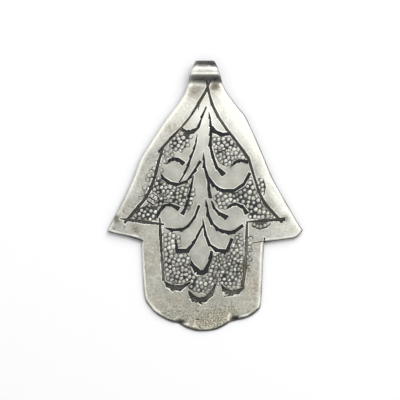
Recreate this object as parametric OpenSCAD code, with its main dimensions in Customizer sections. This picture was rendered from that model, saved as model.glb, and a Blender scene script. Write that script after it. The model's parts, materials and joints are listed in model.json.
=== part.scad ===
/* [Plate] */
// Height of the flat plate, from the middle scallop to the foot of the neck
plate_h = 49.6; // [42:0.1:60]
// Width of the plate across the tips of its two wings
plate_w = 39.1; // [32:0.1:48]
// Thickness of the silver sheet
sheet_t = 0.8; // [0.6:0.05:1]

/* [Bail] */
// Radius of the bore that a chain or cord runs through
bore_r = 1; // [0.8:0.05:1.3]
// Slope in degrees at which the neck climbs from the plate to the roll
neck_slope = 40; // [34:1:46]
// Radius of the hollow at the foot of the neck, on the front
neck_hollow_r = 1; // [0.6:0.05:1.4]
// Width of the rolled tongue at the crest of the pendant
crest_w = 4.2; // [3.4:0.1:5.2]
// Width of the tongue where it comes back under the neck
tail_w = 3.8; // [3:0.1:4.2]
// Degrees by which the roll stops short of a full turn, against the neck's back
seam_gap = 35; // [25:1:40]

/* [Engraving] */
// Width of a full stroke of the chisel
stroke_w = 0.6; // [0.4:0.05:0.8]
// Depth of the chiselled lines and leaves
stroke_d = 0.25; // [0.1:0.01:0.35]
// Depth of the gouged crescents above the scallops
gouge_d = 0.32; // [0.15:0.01:0.4]
// Depth by which the pearled ground is punched down
ground_d = 0.1; // [0.04:0.01:0.2]

/* [Hidden] */

// The chart is a grid of steps laid over the front, x to the right and y down.
// Every table below is written in its steps, which follow the plate's sizes.
chart_mid_x = 205.15;
chart_foot_y = 331.5;
chart_neck_y = 83.4;
chart_tip_to_tip = 195.7;
steps_in_full_stroke = 3;

function across(x) = (x - chart_mid_x) * plate_w / chart_tip_to_tip;
function up(y) = (chart_foot_y - y) * plate_h / (chart_foot_y - chart_neck_y);
function place(x, y) = [across(x), up(y)];

// Outline of the flat plate, from the neck's left foot anticlockwise to its right foot.
// Columns: x, y, and 1 where the saw turned a corner.
OUTLINE = [
    [188.4, 83.4, 1], [184, 94, 0], [177, 105, 0], [163.7, 122.5, 0],
    [150, 143.3, 0], [141, 158, 0], [134.4, 175, 0], [126, 194, 0],
    [114.4, 217, 0], [107.3, 230.7, 1], [110, 232.3, 0], [120, 234.7, 0],
    [130, 237, 0], [142, 241.3, 1], [142.6, 256, 0], [143.3, 272, 0],
    [144.6, 288, 0], [146, 299.5, 0], [149.6, 306.6, 0], [155.5, 313.2, 0],
    [162.3, 317.7, 0], [170, 321.4, 0], [178.6, 323.6, 1], [186, 327.9, 0],
    [195, 330.9, 0], [203, 331.5, 0], [210.5, 330.9, 0], [216.8, 329.1, 0],
    [222.3, 326.4, 0], [230.5, 321.5, 1], [240.5, 319.1, 0], [247, 317.2, 0],
    [252.3, 314.5, 0], [257, 311, 0], [260.8, 305.6, 0], [262.2, 285, 0],
    [262.9, 266, 0], [264.2, 242.2, 1], [275, 240.3, 0], [285, 238.9, 0],
    [294.4, 237.4, 0], [299.5, 234.2, 0], [303, 230, 1], [298.5, 223.6, 0],
    [290.6, 210, 0], [281.4, 194, 0], [272.7, 178, 0], [264.2, 157.8, 0],
    [257, 141, 0], [251, 128, 0], [245, 115.8, 0], [237, 106, 0],
    [228, 94, 0], [222.2, 83.4, 1]
];
curve_steps = 2;

// Chiselled strokes, each through a start, a middle and an end.
// Columns: start x, y, middle x, y, end x, y, and the widths at the three.
STROKES = [
    // border, left shoulder and wing
    [209.2, 84.5, 207.4, 88.6, 205, 93, 2.2, 2.5, 2.5],
    [205, 93, 201.9, 99.1, 198, 104.5, 2.5, 2.5, 2.8],
    [198, 104.5, 191, 116, 182.5, 126.5, 2.4, 1.6, 2],
    [181, 128, 170, 139.5, 158.5, 152.5, 2.2, 2.5, 2],
    [162, 150.5, 158.5, 162, 155.5, 175, 2, 2.6, 2.4],
    [155.5, 175, 151.5, 187, 145.5, 198.5, 2.4, 2.6, 2.6],
    [145.5, 198.5, 136.5, 209, 124.5, 223, 2.6, 2.6, 2],
    // border, right shoulder and wing
    [207.1, 84.5, 207.9, 89.3, 209, 94, 1.8, 2.3, 2.2],
    [209, 94, 213, 107, 219, 118.5, 2.2, 2.8, 2.8],
    [219, 118.5, 227, 130, 235, 140, 2.8, 2.4, 2.5],
    [235, 140, 242.5, 149, 248.5, 158.5, 2.5, 3, 3],
    [248.5, 158.5, 252.4, 169, 255, 180, 2.6, 2.4, 2],
    [255, 180, 259, 192.3, 265, 204, 2, 2.2, 3],
    [265, 204, 272.5, 213.4, 282, 222.5, 3, 4.2, 2.5],
    // border, wings to palm and down the palm
    [119.5, 218.5, 132, 220.4, 145, 222, 1, 2, 3],
    [145, 222, 154.5, 223.3, 164, 224.3, 3, 3, 1.5],
    [159.7, 218, 160.6, 235, 161.5, 252, 1.5, 3, 1.8],
    [161.5, 252, 162.6, 266, 163.5, 280.5, 1.8, 2.4, 2],
    [247, 221.8, 266, 220.4, 285, 218.8, 1.5, 3, 2.6],
    [247, 221.5, 246.4, 238, 246, 252, 2, 2.4, 2.6],
    [246, 252, 244.9, 269.5, 242.5, 287, 2.6, 3, 2.6],
    // leaves under the crest
    [206.2, 107, 201.9, 117.2, 198.5, 127.5, 1.8, 1.8, 2.2],
    [198.5, 128.5, 190.2, 132.9, 180.5, 130, 2.5, 3.8, 2.5],
    [211.5, 127, 219, 134.4, 230, 133.5, 3, 4.4, 2.5],
    [208.7, 112, 210.8, 128, 210.1, 147, 0.8, 2.4, 3],
    [211.5, 148, 212.4, 153.7, 213.5, 159, 2.4, 2.8, 3],
    [214, 160, 215.6, 164.8, 217.5, 169.5, 2.6, 3, 3.2],
    [218, 168.5, 221, 171.4, 224, 175, 3, 4, 5.4],
    [197.2, 134, 195.1, 146, 190.5, 158, 0.6, 1.7, 2.2],
    [190.5, 158, 186.6, 169.3, 179.5, 182, 2.4, 2.2, 0.8],
    // leaves between the wings
    [165.8, 165.5, 173.5, 158.9, 184, 163.8, 0.8, 3.2, 4],
    [160.5, 173.5, 164.2, 179.4, 170, 183.2, 1, 3.6, 3.6],
    [170, 183.2, 178.6, 184.6, 187.5, 181, 3.6, 3, 2.2],
    [187, 181, 194, 171.7, 200.2, 161, 2, 2.6, 2],
    [203.3, 152, 203.9, 160, 204.3, 168, 0.8, 1.8, 2.6],
    [205.5, 168, 206.6, 173.4, 208, 179, 2.2, 2.5, 3],
    [208.2, 179, 208.7, 185, 209, 191, 2.2, 2.4, 2.6],
    [209.7, 192, 210.1, 195.2, 210.4, 198.3, 2.5, 3, 3.5],
    [209.5, 179, 211.6, 183.2, 214.5, 186.5, 2.5, 3, 4],
    [216, 187, 219.2, 189.5, 223, 190.7, 3, 3.4, 3.2],
    [223, 190.7, 228.5, 191.1, 234, 190.6, 3.2, 3.4, 3.2],
    [236, 189.5, 240.2, 187, 244, 184, 2.6, 2.9, 3],
    [244.5, 182.5, 247.4, 178, 249.8, 173, 2.6, 2.8, 3],
    [230, 168, 237.4, 161.1, 248, 162, 0.8, 3, 2.8],
    [193.2, 176, 191.2, 187, 188.5, 198, 1.5, 2.1, 2.2],
    [188.5, 198, 186, 206.4, 182.3, 214.5, 2.2, 2.5, 3.6],
    [157.5, 218, 159.4, 211, 164, 205.6, 1.5, 3.2, 3],
    [164, 205.6, 171.4, 204.8, 179.3, 208.7, 3, 2.6, 4],
    // leaves in the palm
    [163.5, 227.5, 173, 230, 183, 229.3, 0.8, 3.2, 3],
    [185, 227.5, 187.2, 226.7, 189, 225.5, 2.4, 2.5, 2.6],
    [190.5, 222.5, 193.1, 219.3, 195.5, 216, 2.2, 2.4, 2.6],
    [196, 213, 197.5, 209.3, 199.2, 205.3, 2, 2.2, 2.5],
    [205.5, 199, 207.2, 207.8, 208.3, 216.5, 1, 2.3, 2.8],
    [209.5, 217, 210.8, 220.9, 212.5, 224.5, 2.8, 3, 3.3],
    [215, 226, 218.8, 230, 224, 231.7, 3, 3.2, 3.4],
    [224, 231.7, 229.5, 232.8, 235, 231.5, 3.6, 4, 3.5],
    [236, 230, 239.3, 227.4, 243, 225.2, 2.8, 3, 3.2],
    [211.5, 201, 213, 205, 214.5, 209, 1.2, 2.4, 2.8],
    [216, 209.5, 218.1, 212.5, 220, 215.2, 2.8, 3, 3],
    [221, 213.5, 224, 216, 227, 218, 3.2, 4.2, 5.4],
    [226.5, 209.5, 230, 205.6, 235, 203.9, 1, 2.6, 2.6],
    [235, 203.9, 242, 206.3, 247.2, 213.7, 2.6, 3, 4],
    [202.8, 225.5, 199.8, 231.6, 196.5, 237.5, 1.6, 2, 2.4],
    [196.5, 239.5, 192.8, 244.3, 188.5, 248.5, 3.4, 2.9, 2.4],
    [188.8, 251, 182.4, 251.4, 176, 250.8, 3.6, 4, 4],
    [177.5, 249.5, 176.3, 244, 175.5, 238.5, 3.6, 2, 1],
    [202.3, 217, 203.9, 226.5, 206, 236, 0.8, 2, 2.4],
    [207.5, 238, 208.8, 242, 210, 246, 2.6, 2.8, 3],
    [211, 245.5, 217.6, 250.4, 226, 251.5, 3, 3.8, 4],
    [227.5, 249, 230.4, 244, 232, 238.5, 3, 2.8, 2.8],
    [211.5, 251.5, 209.8, 261.2, 206, 270.5, 3.2, 3, 3],
    [206.5, 272.5, 202, 272.7, 197, 272, 3.8, 3.8, 4],
    [190.3, 259, 192.9, 266, 197.5, 271, 0.8, 3.4, 5]
];

// Gouged crescents over the three scallops, with the same columns
GOUGES = [
    [164, 281, 168.2, 285.6, 173.5, 287.9, 1, 4.2, 5.5],
    [173.5, 287.9, 182, 287.2, 190, 282.5, 5.5, 4.6, 1.2],
    [188.5, 291, 192.4, 297, 198.5, 300.2, 1.5, 4.8, 5],
    [198.5, 300.2, 209.2, 296.6, 215.4, 283.5, 5, 4.6, 1.2],
    [221, 284.5, 225, 290.2, 231, 292.7, 1.2, 4.4, 4.8],
    [231, 292.7, 238.6, 291.4, 244, 287, 4.8, 4.2, 1.2]
];
stroke_steps = 4;

// Fields of punched ground, each a list of corners in chart steps: x, y
GROUNDS = [
    // left shoulder
    [[181, 132], [171, 141], [163, 152], [160, 160], [166, 163], [171, 157],
     [179, 151], [187, 145], [192, 136]],
    // left wing
    [[158, 176], [164, 183], [176, 188], [189, 184], [187, 198], [182, 207],
     [168, 202], [160, 206], [156, 219], [131, 219], [142, 205], [151, 192]],
    // right shoulder
    [[213, 137], [230, 137], [239, 148], [247, 159], [238, 158.5], [231, 162],
     [227, 168], [220, 163], [215, 152]],
    // right wing
    [[214, 199], [220, 193], [236, 193], [246, 186], [252, 178], [256, 190],
     [262, 202], [272, 214], [278, 218], [250, 219], [249, 212], [243, 203],
     [232, 201], [225, 208], [219, 208]],
    // palm
    [[164, 233], [180, 233], [173, 240], [174, 253], [189, 255], [188, 262],
     [194, 274], [208, 275], [213, 262], [215, 254], [229, 254], [234, 246],
     [235, 236], [243, 232], [243, 283], [231, 287], [221, 282], [216, 281],
     [208, 292], [198, 296], [190, 290], [187, 283], [176, 284], [166, 279]]
];

// Sizes of the roll and the neck, in the upright plane through the middle.
// The roll is centred on the middle of the sheet's thickness.
half_t = sheet_t / 2;
roll_r = bore_r + sheet_t;
roll_mid_r = bore_r + half_t;
hollow_mid_r = neck_hollow_r + half_t;
hollow_run = hollow_mid_r * tan(neck_slope / 2);
roll_y = plate_h + hollow_run + roll_mid_r / sin(neck_slope);
crest_y = roll_y + roll_r;
neck_leaves = 90 + neck_slope;
tail_ends = neck_leaves + seam_gap;

// The pendant lies on the back of its roll and on the foot of the plate
rest_tilt = asin(roll_r / norm([roll_y, half_t])) - atan(half_t / roll_y);
rest_lift = half_t * cos(rest_tilt);
rest_y_low = -half_t * sin(rest_tilt);
rest_y_high = roll_y * cos(rest_tilt) + roll_r;

// How far a cutting form reaches past the metal
clear = 1;
// Straight sides of the wedge that cuts a sector out of the roll
sector_sides = 6;
// Sides of a full circle where the bail is drawn as a mesh
circle_sides = 96;

// A point on the smooth run between b and c, with a and d on either side
function bend(a, b, c, d, t) = 0.5 * (2 * b + (c - a) * t
    + (2 * a - 5 * b + 4 * c - d) * t * t
    + (3 * b - a - 3 * c + d) * t * t * t);

// The neighbour that bends a run's end, which is the end itself at a corner
function before(i) = OUTLINE[i][2] == 1 ? OUTLINE[i] : OUTLINE[i - 1];
function after(i) = OUTLINE[i][2] == 1 ? OUTLINE[i] : OUTLINE[i + 1];

function outline_run(i) = [
    for (k = [0 : curve_steps - 1])
        let (p = bend(before(i), OUTLINE[i], OUTLINE[i + 1], after(i + 1), k / curve_steps))
            place(p[0], p[1])
];

last_mark = len(OUTLINE) - 1;
neck_left = place(OUTLINE[0][0], OUTLINE[0][1]);
neck_right = place(OUTLINE[last_mark][0], OUTLINE[last_mark][1]);
plate_edge = concat(
    [for (i = [0 : last_mark - 1]) for (p = outline_run(i)) p],
    [neck_right]
);

// A curve through three values, with t from 0 to 1
function through(a, b, c, t) = let (pull = 2 * b - (a + c) / 2)
    (1 - t) * (1 - t) * a + 2 * t * (1 - t) * pull + t * t * c;
function heading(a, b, c, t) = let (pull = 2 * b - (a + c) / 2)
    (1 - t) * (pull - a) + t * (c - pull);

// One edge of a stroke, with side 1 for its left and -1 for its right
function stroke_edge(s, side, t) = let (
    a = place(s[0], s[1]),
    b = place(s[2], s[3]),
    c = place(s[4], s[5]),
    half = through(s[6], s[7], s[8], t) * stroke_w / steps_in_full_stroke / 2,
    h = heading(a, b, c, t)
) through(a, b, c, t) + side * half * [-h[1], h[0]] / norm(h);

function stroke_outline(s) = concat(
    [for (k = [0 : stroke_steps]) stroke_edge(s, 1, k / stroke_steps)],
    [for (k = [stroke_steps : -1 : 0]) stroke_edge(s, -1, k / stroke_steps)]
);

// A cut of the given depth into the front face
module sunk(depth)
    translate([0, 0, half_t - depth]) linear_extrude(depth + clear) children();

module strokes(table, depth)
    for (s = table) sunk(depth) polygon(stroke_outline(s));

module punched_grounds()
    for (field = GROUNDS) sunk(ground_d) polygon([for (p = field) place(p[0], p[1])]);

module flat_plate()
    translate([0, 0, -half_t]) linear_extrude(sheet_t) polygon(plate_edge);

module engraved_plate()
    difference() {
        flat_plate();
        punched_grounds();
        strokes(STROKES, stroke_d);
        strokes(GOUGES, gouge_d);
    }

// Draws a side view, along the plate to the right and up from its middle, across the width
module from_side()
    rotate([90, 0, 90]) translate([0, 0, -plate_w / 2]) linear_extrude(plate_w) children();

// Part of the roll between two angles, counted from the crest's far side
module roll_sector(from, to)
    translate([roll_y, 0]) intersection() {
        difference() {
            circle(roll_r, $fn = circle_sides);
            circle(bore_r, $fn = circle_sides);
        }
        polygon(concat([[0, 0]], [
            for (k = [0 : sector_sides])
                let (a = from + (to - from) * k / sector_sides)
                    2 * roll_r * [cos(a), sin(a)]
        ]));
    }

// The hollow that turns the flat sheet up into the neck
module neck_hollow()
    translate([plate_h, hollow_mid_r]) intersection() {
        difference() {
            circle(hollow_mid_r + half_t, $fn = circle_sides);
            circle(neck_hollow_r, $fn = circle_sides);
        }
        polygon([
            [0, 0],
            [0, -2 * hollow_mid_r],
            2 * hollow_mid_r * [sin(neck_slope), -cos(neck_slope)]
        ]);
    }

// The straight climb between the hollow and the roll
module neck_climb() {
    climb = roll_mid_r / tan(neck_slope) - hollow_run;
    translate([plate_h + hollow_run * (1 + cos(neck_slope)), hollow_run * sin(neck_slope)])
        rotate(neck_slope) translate([0, -half_t]) square([climb, sheet_t]);
}

// The tongue's outline from above: the neck and the front of the roll
module tongue_front()
    translate([0, 0, -roll_r - clear]) linear_extrude(2 * (roll_r + clear)) polygon([
        neck_left, neck_right, [crest_w / 2, crest_y], [-crest_w / 2, crest_y]
    ]);

// The tongue's outline from above: the back of the roll, to the tail
module tongue_back()
    translate([0, 0, -roll_r - clear]) linear_extrude(2 * (roll_r + clear)) polygon([
        [-tail_w / 2, roll_y - roll_r], [tail_w / 2, roll_y - roll_r],
        [crest_w / 2, crest_y], [-crest_w / 2, crest_y]
    ]);

module bail()
    union() {
        intersection() {
            union() {
                from_side() neck_hollow();
                from_side() neck_climb();
                from_side() roll_sector(0, neck_leaves);
            }
            tongue_front();
        }
        intersection() {
            from_side() roll_sector(tail_ends, 360);
            tongue_back();
        }
    }

module hamsa_plate()
    color("silver")
        translate([0, -(rest_y_low + rest_y_high) / 2, rest_lift])
            rotate([rest_tilt, 0, 0])
                union() {
                    engraved_plate();
                    bail();
                }

hamsa_plate();
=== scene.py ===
"""Looks of a hamsa pendant: old silver sheet, sawn, chiselled, punched and rolled into its own bail."""
import json
import math

import bpy
import numpy as np
from bpy.props import FloatProperty, FloatVectorProperty, IntProperty, PointerProperty
from mathutils import Matrix, Vector


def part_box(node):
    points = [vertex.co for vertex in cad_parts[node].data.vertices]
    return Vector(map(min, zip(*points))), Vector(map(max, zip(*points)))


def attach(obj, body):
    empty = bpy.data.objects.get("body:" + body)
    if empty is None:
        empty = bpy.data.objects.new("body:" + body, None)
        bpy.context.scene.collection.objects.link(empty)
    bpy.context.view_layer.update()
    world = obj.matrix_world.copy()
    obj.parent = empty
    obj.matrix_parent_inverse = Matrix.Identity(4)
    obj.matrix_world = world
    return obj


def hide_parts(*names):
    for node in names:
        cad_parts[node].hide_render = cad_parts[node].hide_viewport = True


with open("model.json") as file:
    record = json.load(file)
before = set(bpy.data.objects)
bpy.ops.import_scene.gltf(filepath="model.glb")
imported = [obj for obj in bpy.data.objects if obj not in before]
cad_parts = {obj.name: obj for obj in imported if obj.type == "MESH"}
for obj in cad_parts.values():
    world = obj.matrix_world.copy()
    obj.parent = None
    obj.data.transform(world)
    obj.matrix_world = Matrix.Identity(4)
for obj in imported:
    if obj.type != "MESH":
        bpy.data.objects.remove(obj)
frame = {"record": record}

bl_info = {
    "name": "Hamsa pendant",
    "version": (1, 0, 0),
    "blender": (4, 5, 0),
    "location": "View3D > Sidebar > Pendant",
    "description": "Models an engraved silver hamsa pendant with a rolled bail, and its stage",
    "category": "Object",
}

NODE = "hamsa_plate"
BODY = "root"
PIECE = "silver_hamsa"
MM_PER_M = 1000.0
BOX_LOW, BOX_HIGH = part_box(NODE)
BORE = frame["record"]["mounts"][0]
BORE_R = BORE["dims"]["r_mm"] / MM_PER_M
ROLL_R = (BOX_HIGH.z - BOX_LOW.z) / 2

# The marks that the relief leaves on the mesh for the finish, painted light and shade among them
MARKS = ("oxide_and_shade", "wear_and_sheen", "tone", "brown", "patina")

# The flat sheet, in millimetres: the spare metal of the blocks round the outline, how
# far the prism and the blocks reach up and down, the back's cell and its filed rim, and
# the heights between which the side of the sheet passes from back to front.
SPARE = 0.6
PRISM_UP_TO = 1.5
BLOCK_UP_TO = 2.0
BACK_CELL = 0.16
BACK_RIM_W = 0.3
BACK_RIM_D = 0.14
FRONT_FROM = (-0.35, -0.1)
SMOOTH_UP_TO = math.radians(40)

# Noises of the finish. Columns: waves in a millimetre, detail, roughness.
NOISES = {
    "cloud": (0.45, 3.0, 0.55), "mottle": (2.2, 3.0, 0.6), "grain": (6.0, 3.0, 0.65),
    "warmth": (1.3, 4.0, 0.55), "sand": (4.4, 1.0, 0.55), "leaning": (3.1, 2.0, 0.55),
    "specks": (3.4, 2.0, 0.55),
}
COOL_TINT = (0.97, 1.0, 0.985)
WARM_TINT = (1.0, 0.98, 0.95)
TAN_TINT = (1.0, 0.91, 0.8)
GREEN_FLECKS = (0.88, 1.0, 0.9)
RED_FLECKS = (1.0, 0.87, 0.76)

# How far the noises swing the dullness and the black, the levels from which marks and
# noises take hold, and how strongly stains show, from 0 to 1
CLOUD_SWING = 0.45
MOTTLE_SWING = 0.6
GRAIN_SWING = 0.5
SAND_SWING = 0.5
BLACK_SWING = 0.25
BLACK_FROM = (0.08, 0.9)
WARM_FROM = (0.35, 0.65)
GREEN_FROM = (0.52, 0.62)
SPECKS_FROM = (0.66, 0.76)
NOISE_MIDDLE = (0.4, 0.6)
SPECKS_SHARE = 0.5
TAN_SHARE = 0.55
FLECKS_SHARE = 0.8
RUST_SHARE = 0.6
BACK_DULLNESS = 0.8
ROUGH_FROM_TO = (0.24, 0.4)
BLACK_ROUGHER = 0.15
GRAIN_SHARE = 0.35
GRAIN_H = 0.00002

# The stage, in metres and watts. The tent's wall and top are two heights, from -1 straight
# down to 1 straight up, and the light at each. A bright patch of the tent is a direction,
# how near to it the patch begins and is full, and its light.
WINDOW_PLACE = (0.2, 0.42, 0.5)
WINDOW_W = 0.55
WINDOW_WATTS = 4.4
FLOOR_COLOUR = (0.86, 0.86, 0.87)
SEEN_FROM_TO = (0.01, 20)
TENT_LIGHT = 0.62
TENT_WALL = (0.25, 0.62, 0.15, 1.12)
TENT_TOP = (0.9, 0.985, 1.0, 0.93)
TENT_PATCHES = [((0.3, 0.42, 0.86), 0.8, 0.98, 0.25), ((0.25, 0.4, 0.5), 0.88, 0.93, 1.26)]

# The chart is a grid of steps laid over the front, x to the right and y down.
# Every table below is written in its steps, which follow the plate's sizes.
CHART_MID_X = 205.15
CHART_FOOT_Y = 331.5
CHART_NECK_Y = 83.4
CHART_TIP_TO_TIP = 195.7
CHART_REST_Y = 196.25
PICTURE_STEPS = 400

# Where one part of the plate passes into the next, each as the chart step at
# which the change begins and the one at which it is done.
RIGHT_HALF = (205, 240)
WING_TIPS = (228, 238)
PALM_TOP = (238, 246)
PALM_FOOT = (308, 318)
LOW_PALM = (262, 288)
BELOW_WINGS = (244, 250)
LEFT_WING_FOOT = (116, 138)
UPPER_PLATE = (170, 245)
UPPER_SHOULDER = (110, 170)
LOW_SHOULDER = (205, 228)
RIGHT_WING = (238, 298)
RIGHT_TIP = (272, 284)
WING_HEM = (220, 228)
WING_ROOT = (232, 250)
GLINT_FROM = (131, 134)
GLINT_TO = (137, 140)
BEVEL_END = (310, 318)
SANDY_FOOT = (280, 314)
FOOT_EDGE = (317, 323)
FOOT_MIDDLE_X = 208
FOOT_REACH = 24

# The same for the tongue, in millimetres up from the foot of the neck
NECK_EDGE = (0.3, 0.6)
CREST_FROM = (1.8, 2.1)
CREST_TO = (3.2, 3.5)

# Unevenness of handwork, by what it changes.
# Columns: how much, over how many millimetres, and the seed of its draw.
WAVERS = {
    "face": [(0.022, 11, 21), (0.009, 3.6, 22), (0.0035, 1.3, 23), (0.0012, 0.45, 25)],
    "back": [(0.012, 8, 31), (0.004, 2.4, 32)],
    "rim": [(0.35, 2.2, 24)],
    "saw": [(0.25, 1.9, 26)],
    "pits": [(0.5, 0.25, 27)],
    "hatch": [(2, 0.8, 77)],
    "tongue": [(0.1, 1.1, 41), (0.05, 0.35, 45)],
    "tone": [(0.07, 3.1, 42), (0.04, 1.1, 44)],
    "black": [(0.16, 2.4, 43)],
    "bail": [(0.12, 0.7, 46)],
    "lip": [(1, 1.4, 47)],
    "filing": [(0.25, 2.0, 48)],
    "foot": [(0.25, 3.0, 49)],
    "right side sheen": [(0.15, 1.7, 50)],
}

# Painted highlight that fades down the plate: how much duller the face is painted down it. Columns: from y,
# to y, how much.
SHEEN_FADING_DOWN = [(92, 178, 0.61), (190, 270, 0.08), (298, 320, 0.03)]

# Outline of the flat plate, from the neck's left foot anticlockwise to its right foot.
# Columns: x, y, and 1 where the saw turned a corner.
OUTLINE = [
    (188.4, 83.4, 1), (184, 94, 0), (177, 105, 0), (163.7, 122.5, 0),
    (150, 143.3, 0), (141, 158, 0), (134.4, 175, 0), (126, 194, 0),
    (114.4, 217, 0), (107.3, 230.7, 1), (110, 232.5, 0), (120, 235, 0),
    (130, 237.4, 0), (142, 241.5, 1), (142.6, 256, 0), (143, 272, 0),
    (143.8, 288, 0), (145.4, 299.5, 0), (149.6, 306.6, 0), (155.5, 313.2, 0),
    (162.3, 317.7, 0), (170, 321.4, 0), (178.6, 323.6, 1), (186, 327.9, 0),
    (195, 330.9, 0), (203, 331.5, 0), (210.5, 330.9, 0), (216.8, 329.5, 0),
    (222.3, 327.1, 0), (230.5, 322, 1), (240.5, 319.8, 0), (247, 317.8, 0),
    (252.3, 315.2, 0), (257, 311.5, 0), (260.8, 305.6, 0), (262.2, 285, 0),
    (262.9, 266, 0), (264.2, 242.7, 1), (275, 241, 0), (285, 239.6, 0),
    (294.4, 238.1, 0), (299.5, 234.8, 0), (303, 230, 1), (298.5, 223.6, 0),
    (290.6, 210, 0), (281.4, 194, 0), (272.7, 178, 0), (264.2, 157.8, 0),
    (257, 141, 0), (251, 128, 0), (245, 115.8, 0), (237, 106, 0),
    (228, 94, 0), (222.2, 83.4, 1),
]

# Edges of the tongue as it was sawn, before it was rolled.
# Columns: share of the tongue's length from the plate, left x, right x.
TONGUE = [
    (0.0, 188.4, 222.2), (0.1, 189.3, 220.9), (0.21, 190.4, 219.6), (0.31, 192, 218.2),
    (0.42, 193.6, 216.4), (0.53, 194.7, 215.5), (0.75, 195.3, 215.0), (1.0, 195.9, 214.3),
]

# Chiselled border lines, each through a start, a middle and an end.
# Columns: start x, y, middle x, y, end x, y, and the widths at the three.
BORDERS = [
    # border, left shoulder and wing
    (211, 79.3, 207.8, 87.2, 205, 93, 1.2, 2.5, 2.5),
    (205, 93, 201.9, 99.1, 198, 104.5, 2.5, 2.5, 2.8),
    (198, 104.5, 191, 116, 182.5, 126.5, 2.4, 1.6, 2),
    (199, 105, 198.8, 107.6, 198.3, 110, 1, 0.8, 0.5),
    (182.5, 126.5, 170.2, 139.2, 158.5, 152.5, 2, 2.4, 2),
    (163.5, 147, 158.9, 161, 155.5, 175, 1.6, 2.6, 2.4),
    (155.5, 175, 151.5, 187, 145.5, 198.5, 2.5, 2.8, 2.8),
    (145.5, 198.5, 136.5, 209, 124.5, 223, 2.8, 2.8, 2.1),
    # border, right shoulder and wing
    (206.2, 79.3, 207.5, 87, 209, 94, 1.2, 2.3, 2.2),
    (209, 94, 213, 107, 219, 118.5, 2.2, 2.8, 2.8),
    (219, 118.5, 227, 130, 235, 140, 2.8, 2.4, 2.5),
    (235, 140, 242.5, 149, 248.5, 158.5, 2.5, 3, 3),
    (248.5, 158.5, 252.4, 169, 255, 180, 2.6, 2.4, 2),
    (255, 180, 259, 192.3, 265, 204, 2, 2.2, 3),
    (265, 204, 272.5, 213.4, 282, 222.5, 3, 4.2, 2.5),
    # border, wings to palm and down the palm
    (119.5, 218.5, 132, 220.4, 145, 222, 1, 2.3, 3.2),
    (145, 222, 154.5, 223.3, 164, 224.3, 3, 3, 1.5),
    (159.7, 218, 160.6, 235, 161.5, 252, 1.5, 3, 1.8),
    (161.5, 252, 162.6, 266, 163.5, 280.5, 1.8, 2.4, 2),
    (247, 221.8, 266, 220.4, 285, 218.8, 1.5, 3, 2.6),
    (247, 221.5, 246.4, 238, 246, 252, 2, 2.4, 2.6),
    (246, 252, 244.9, 269.5, 242.5, 287, 2.6, 3, 2.6),
]

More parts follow.
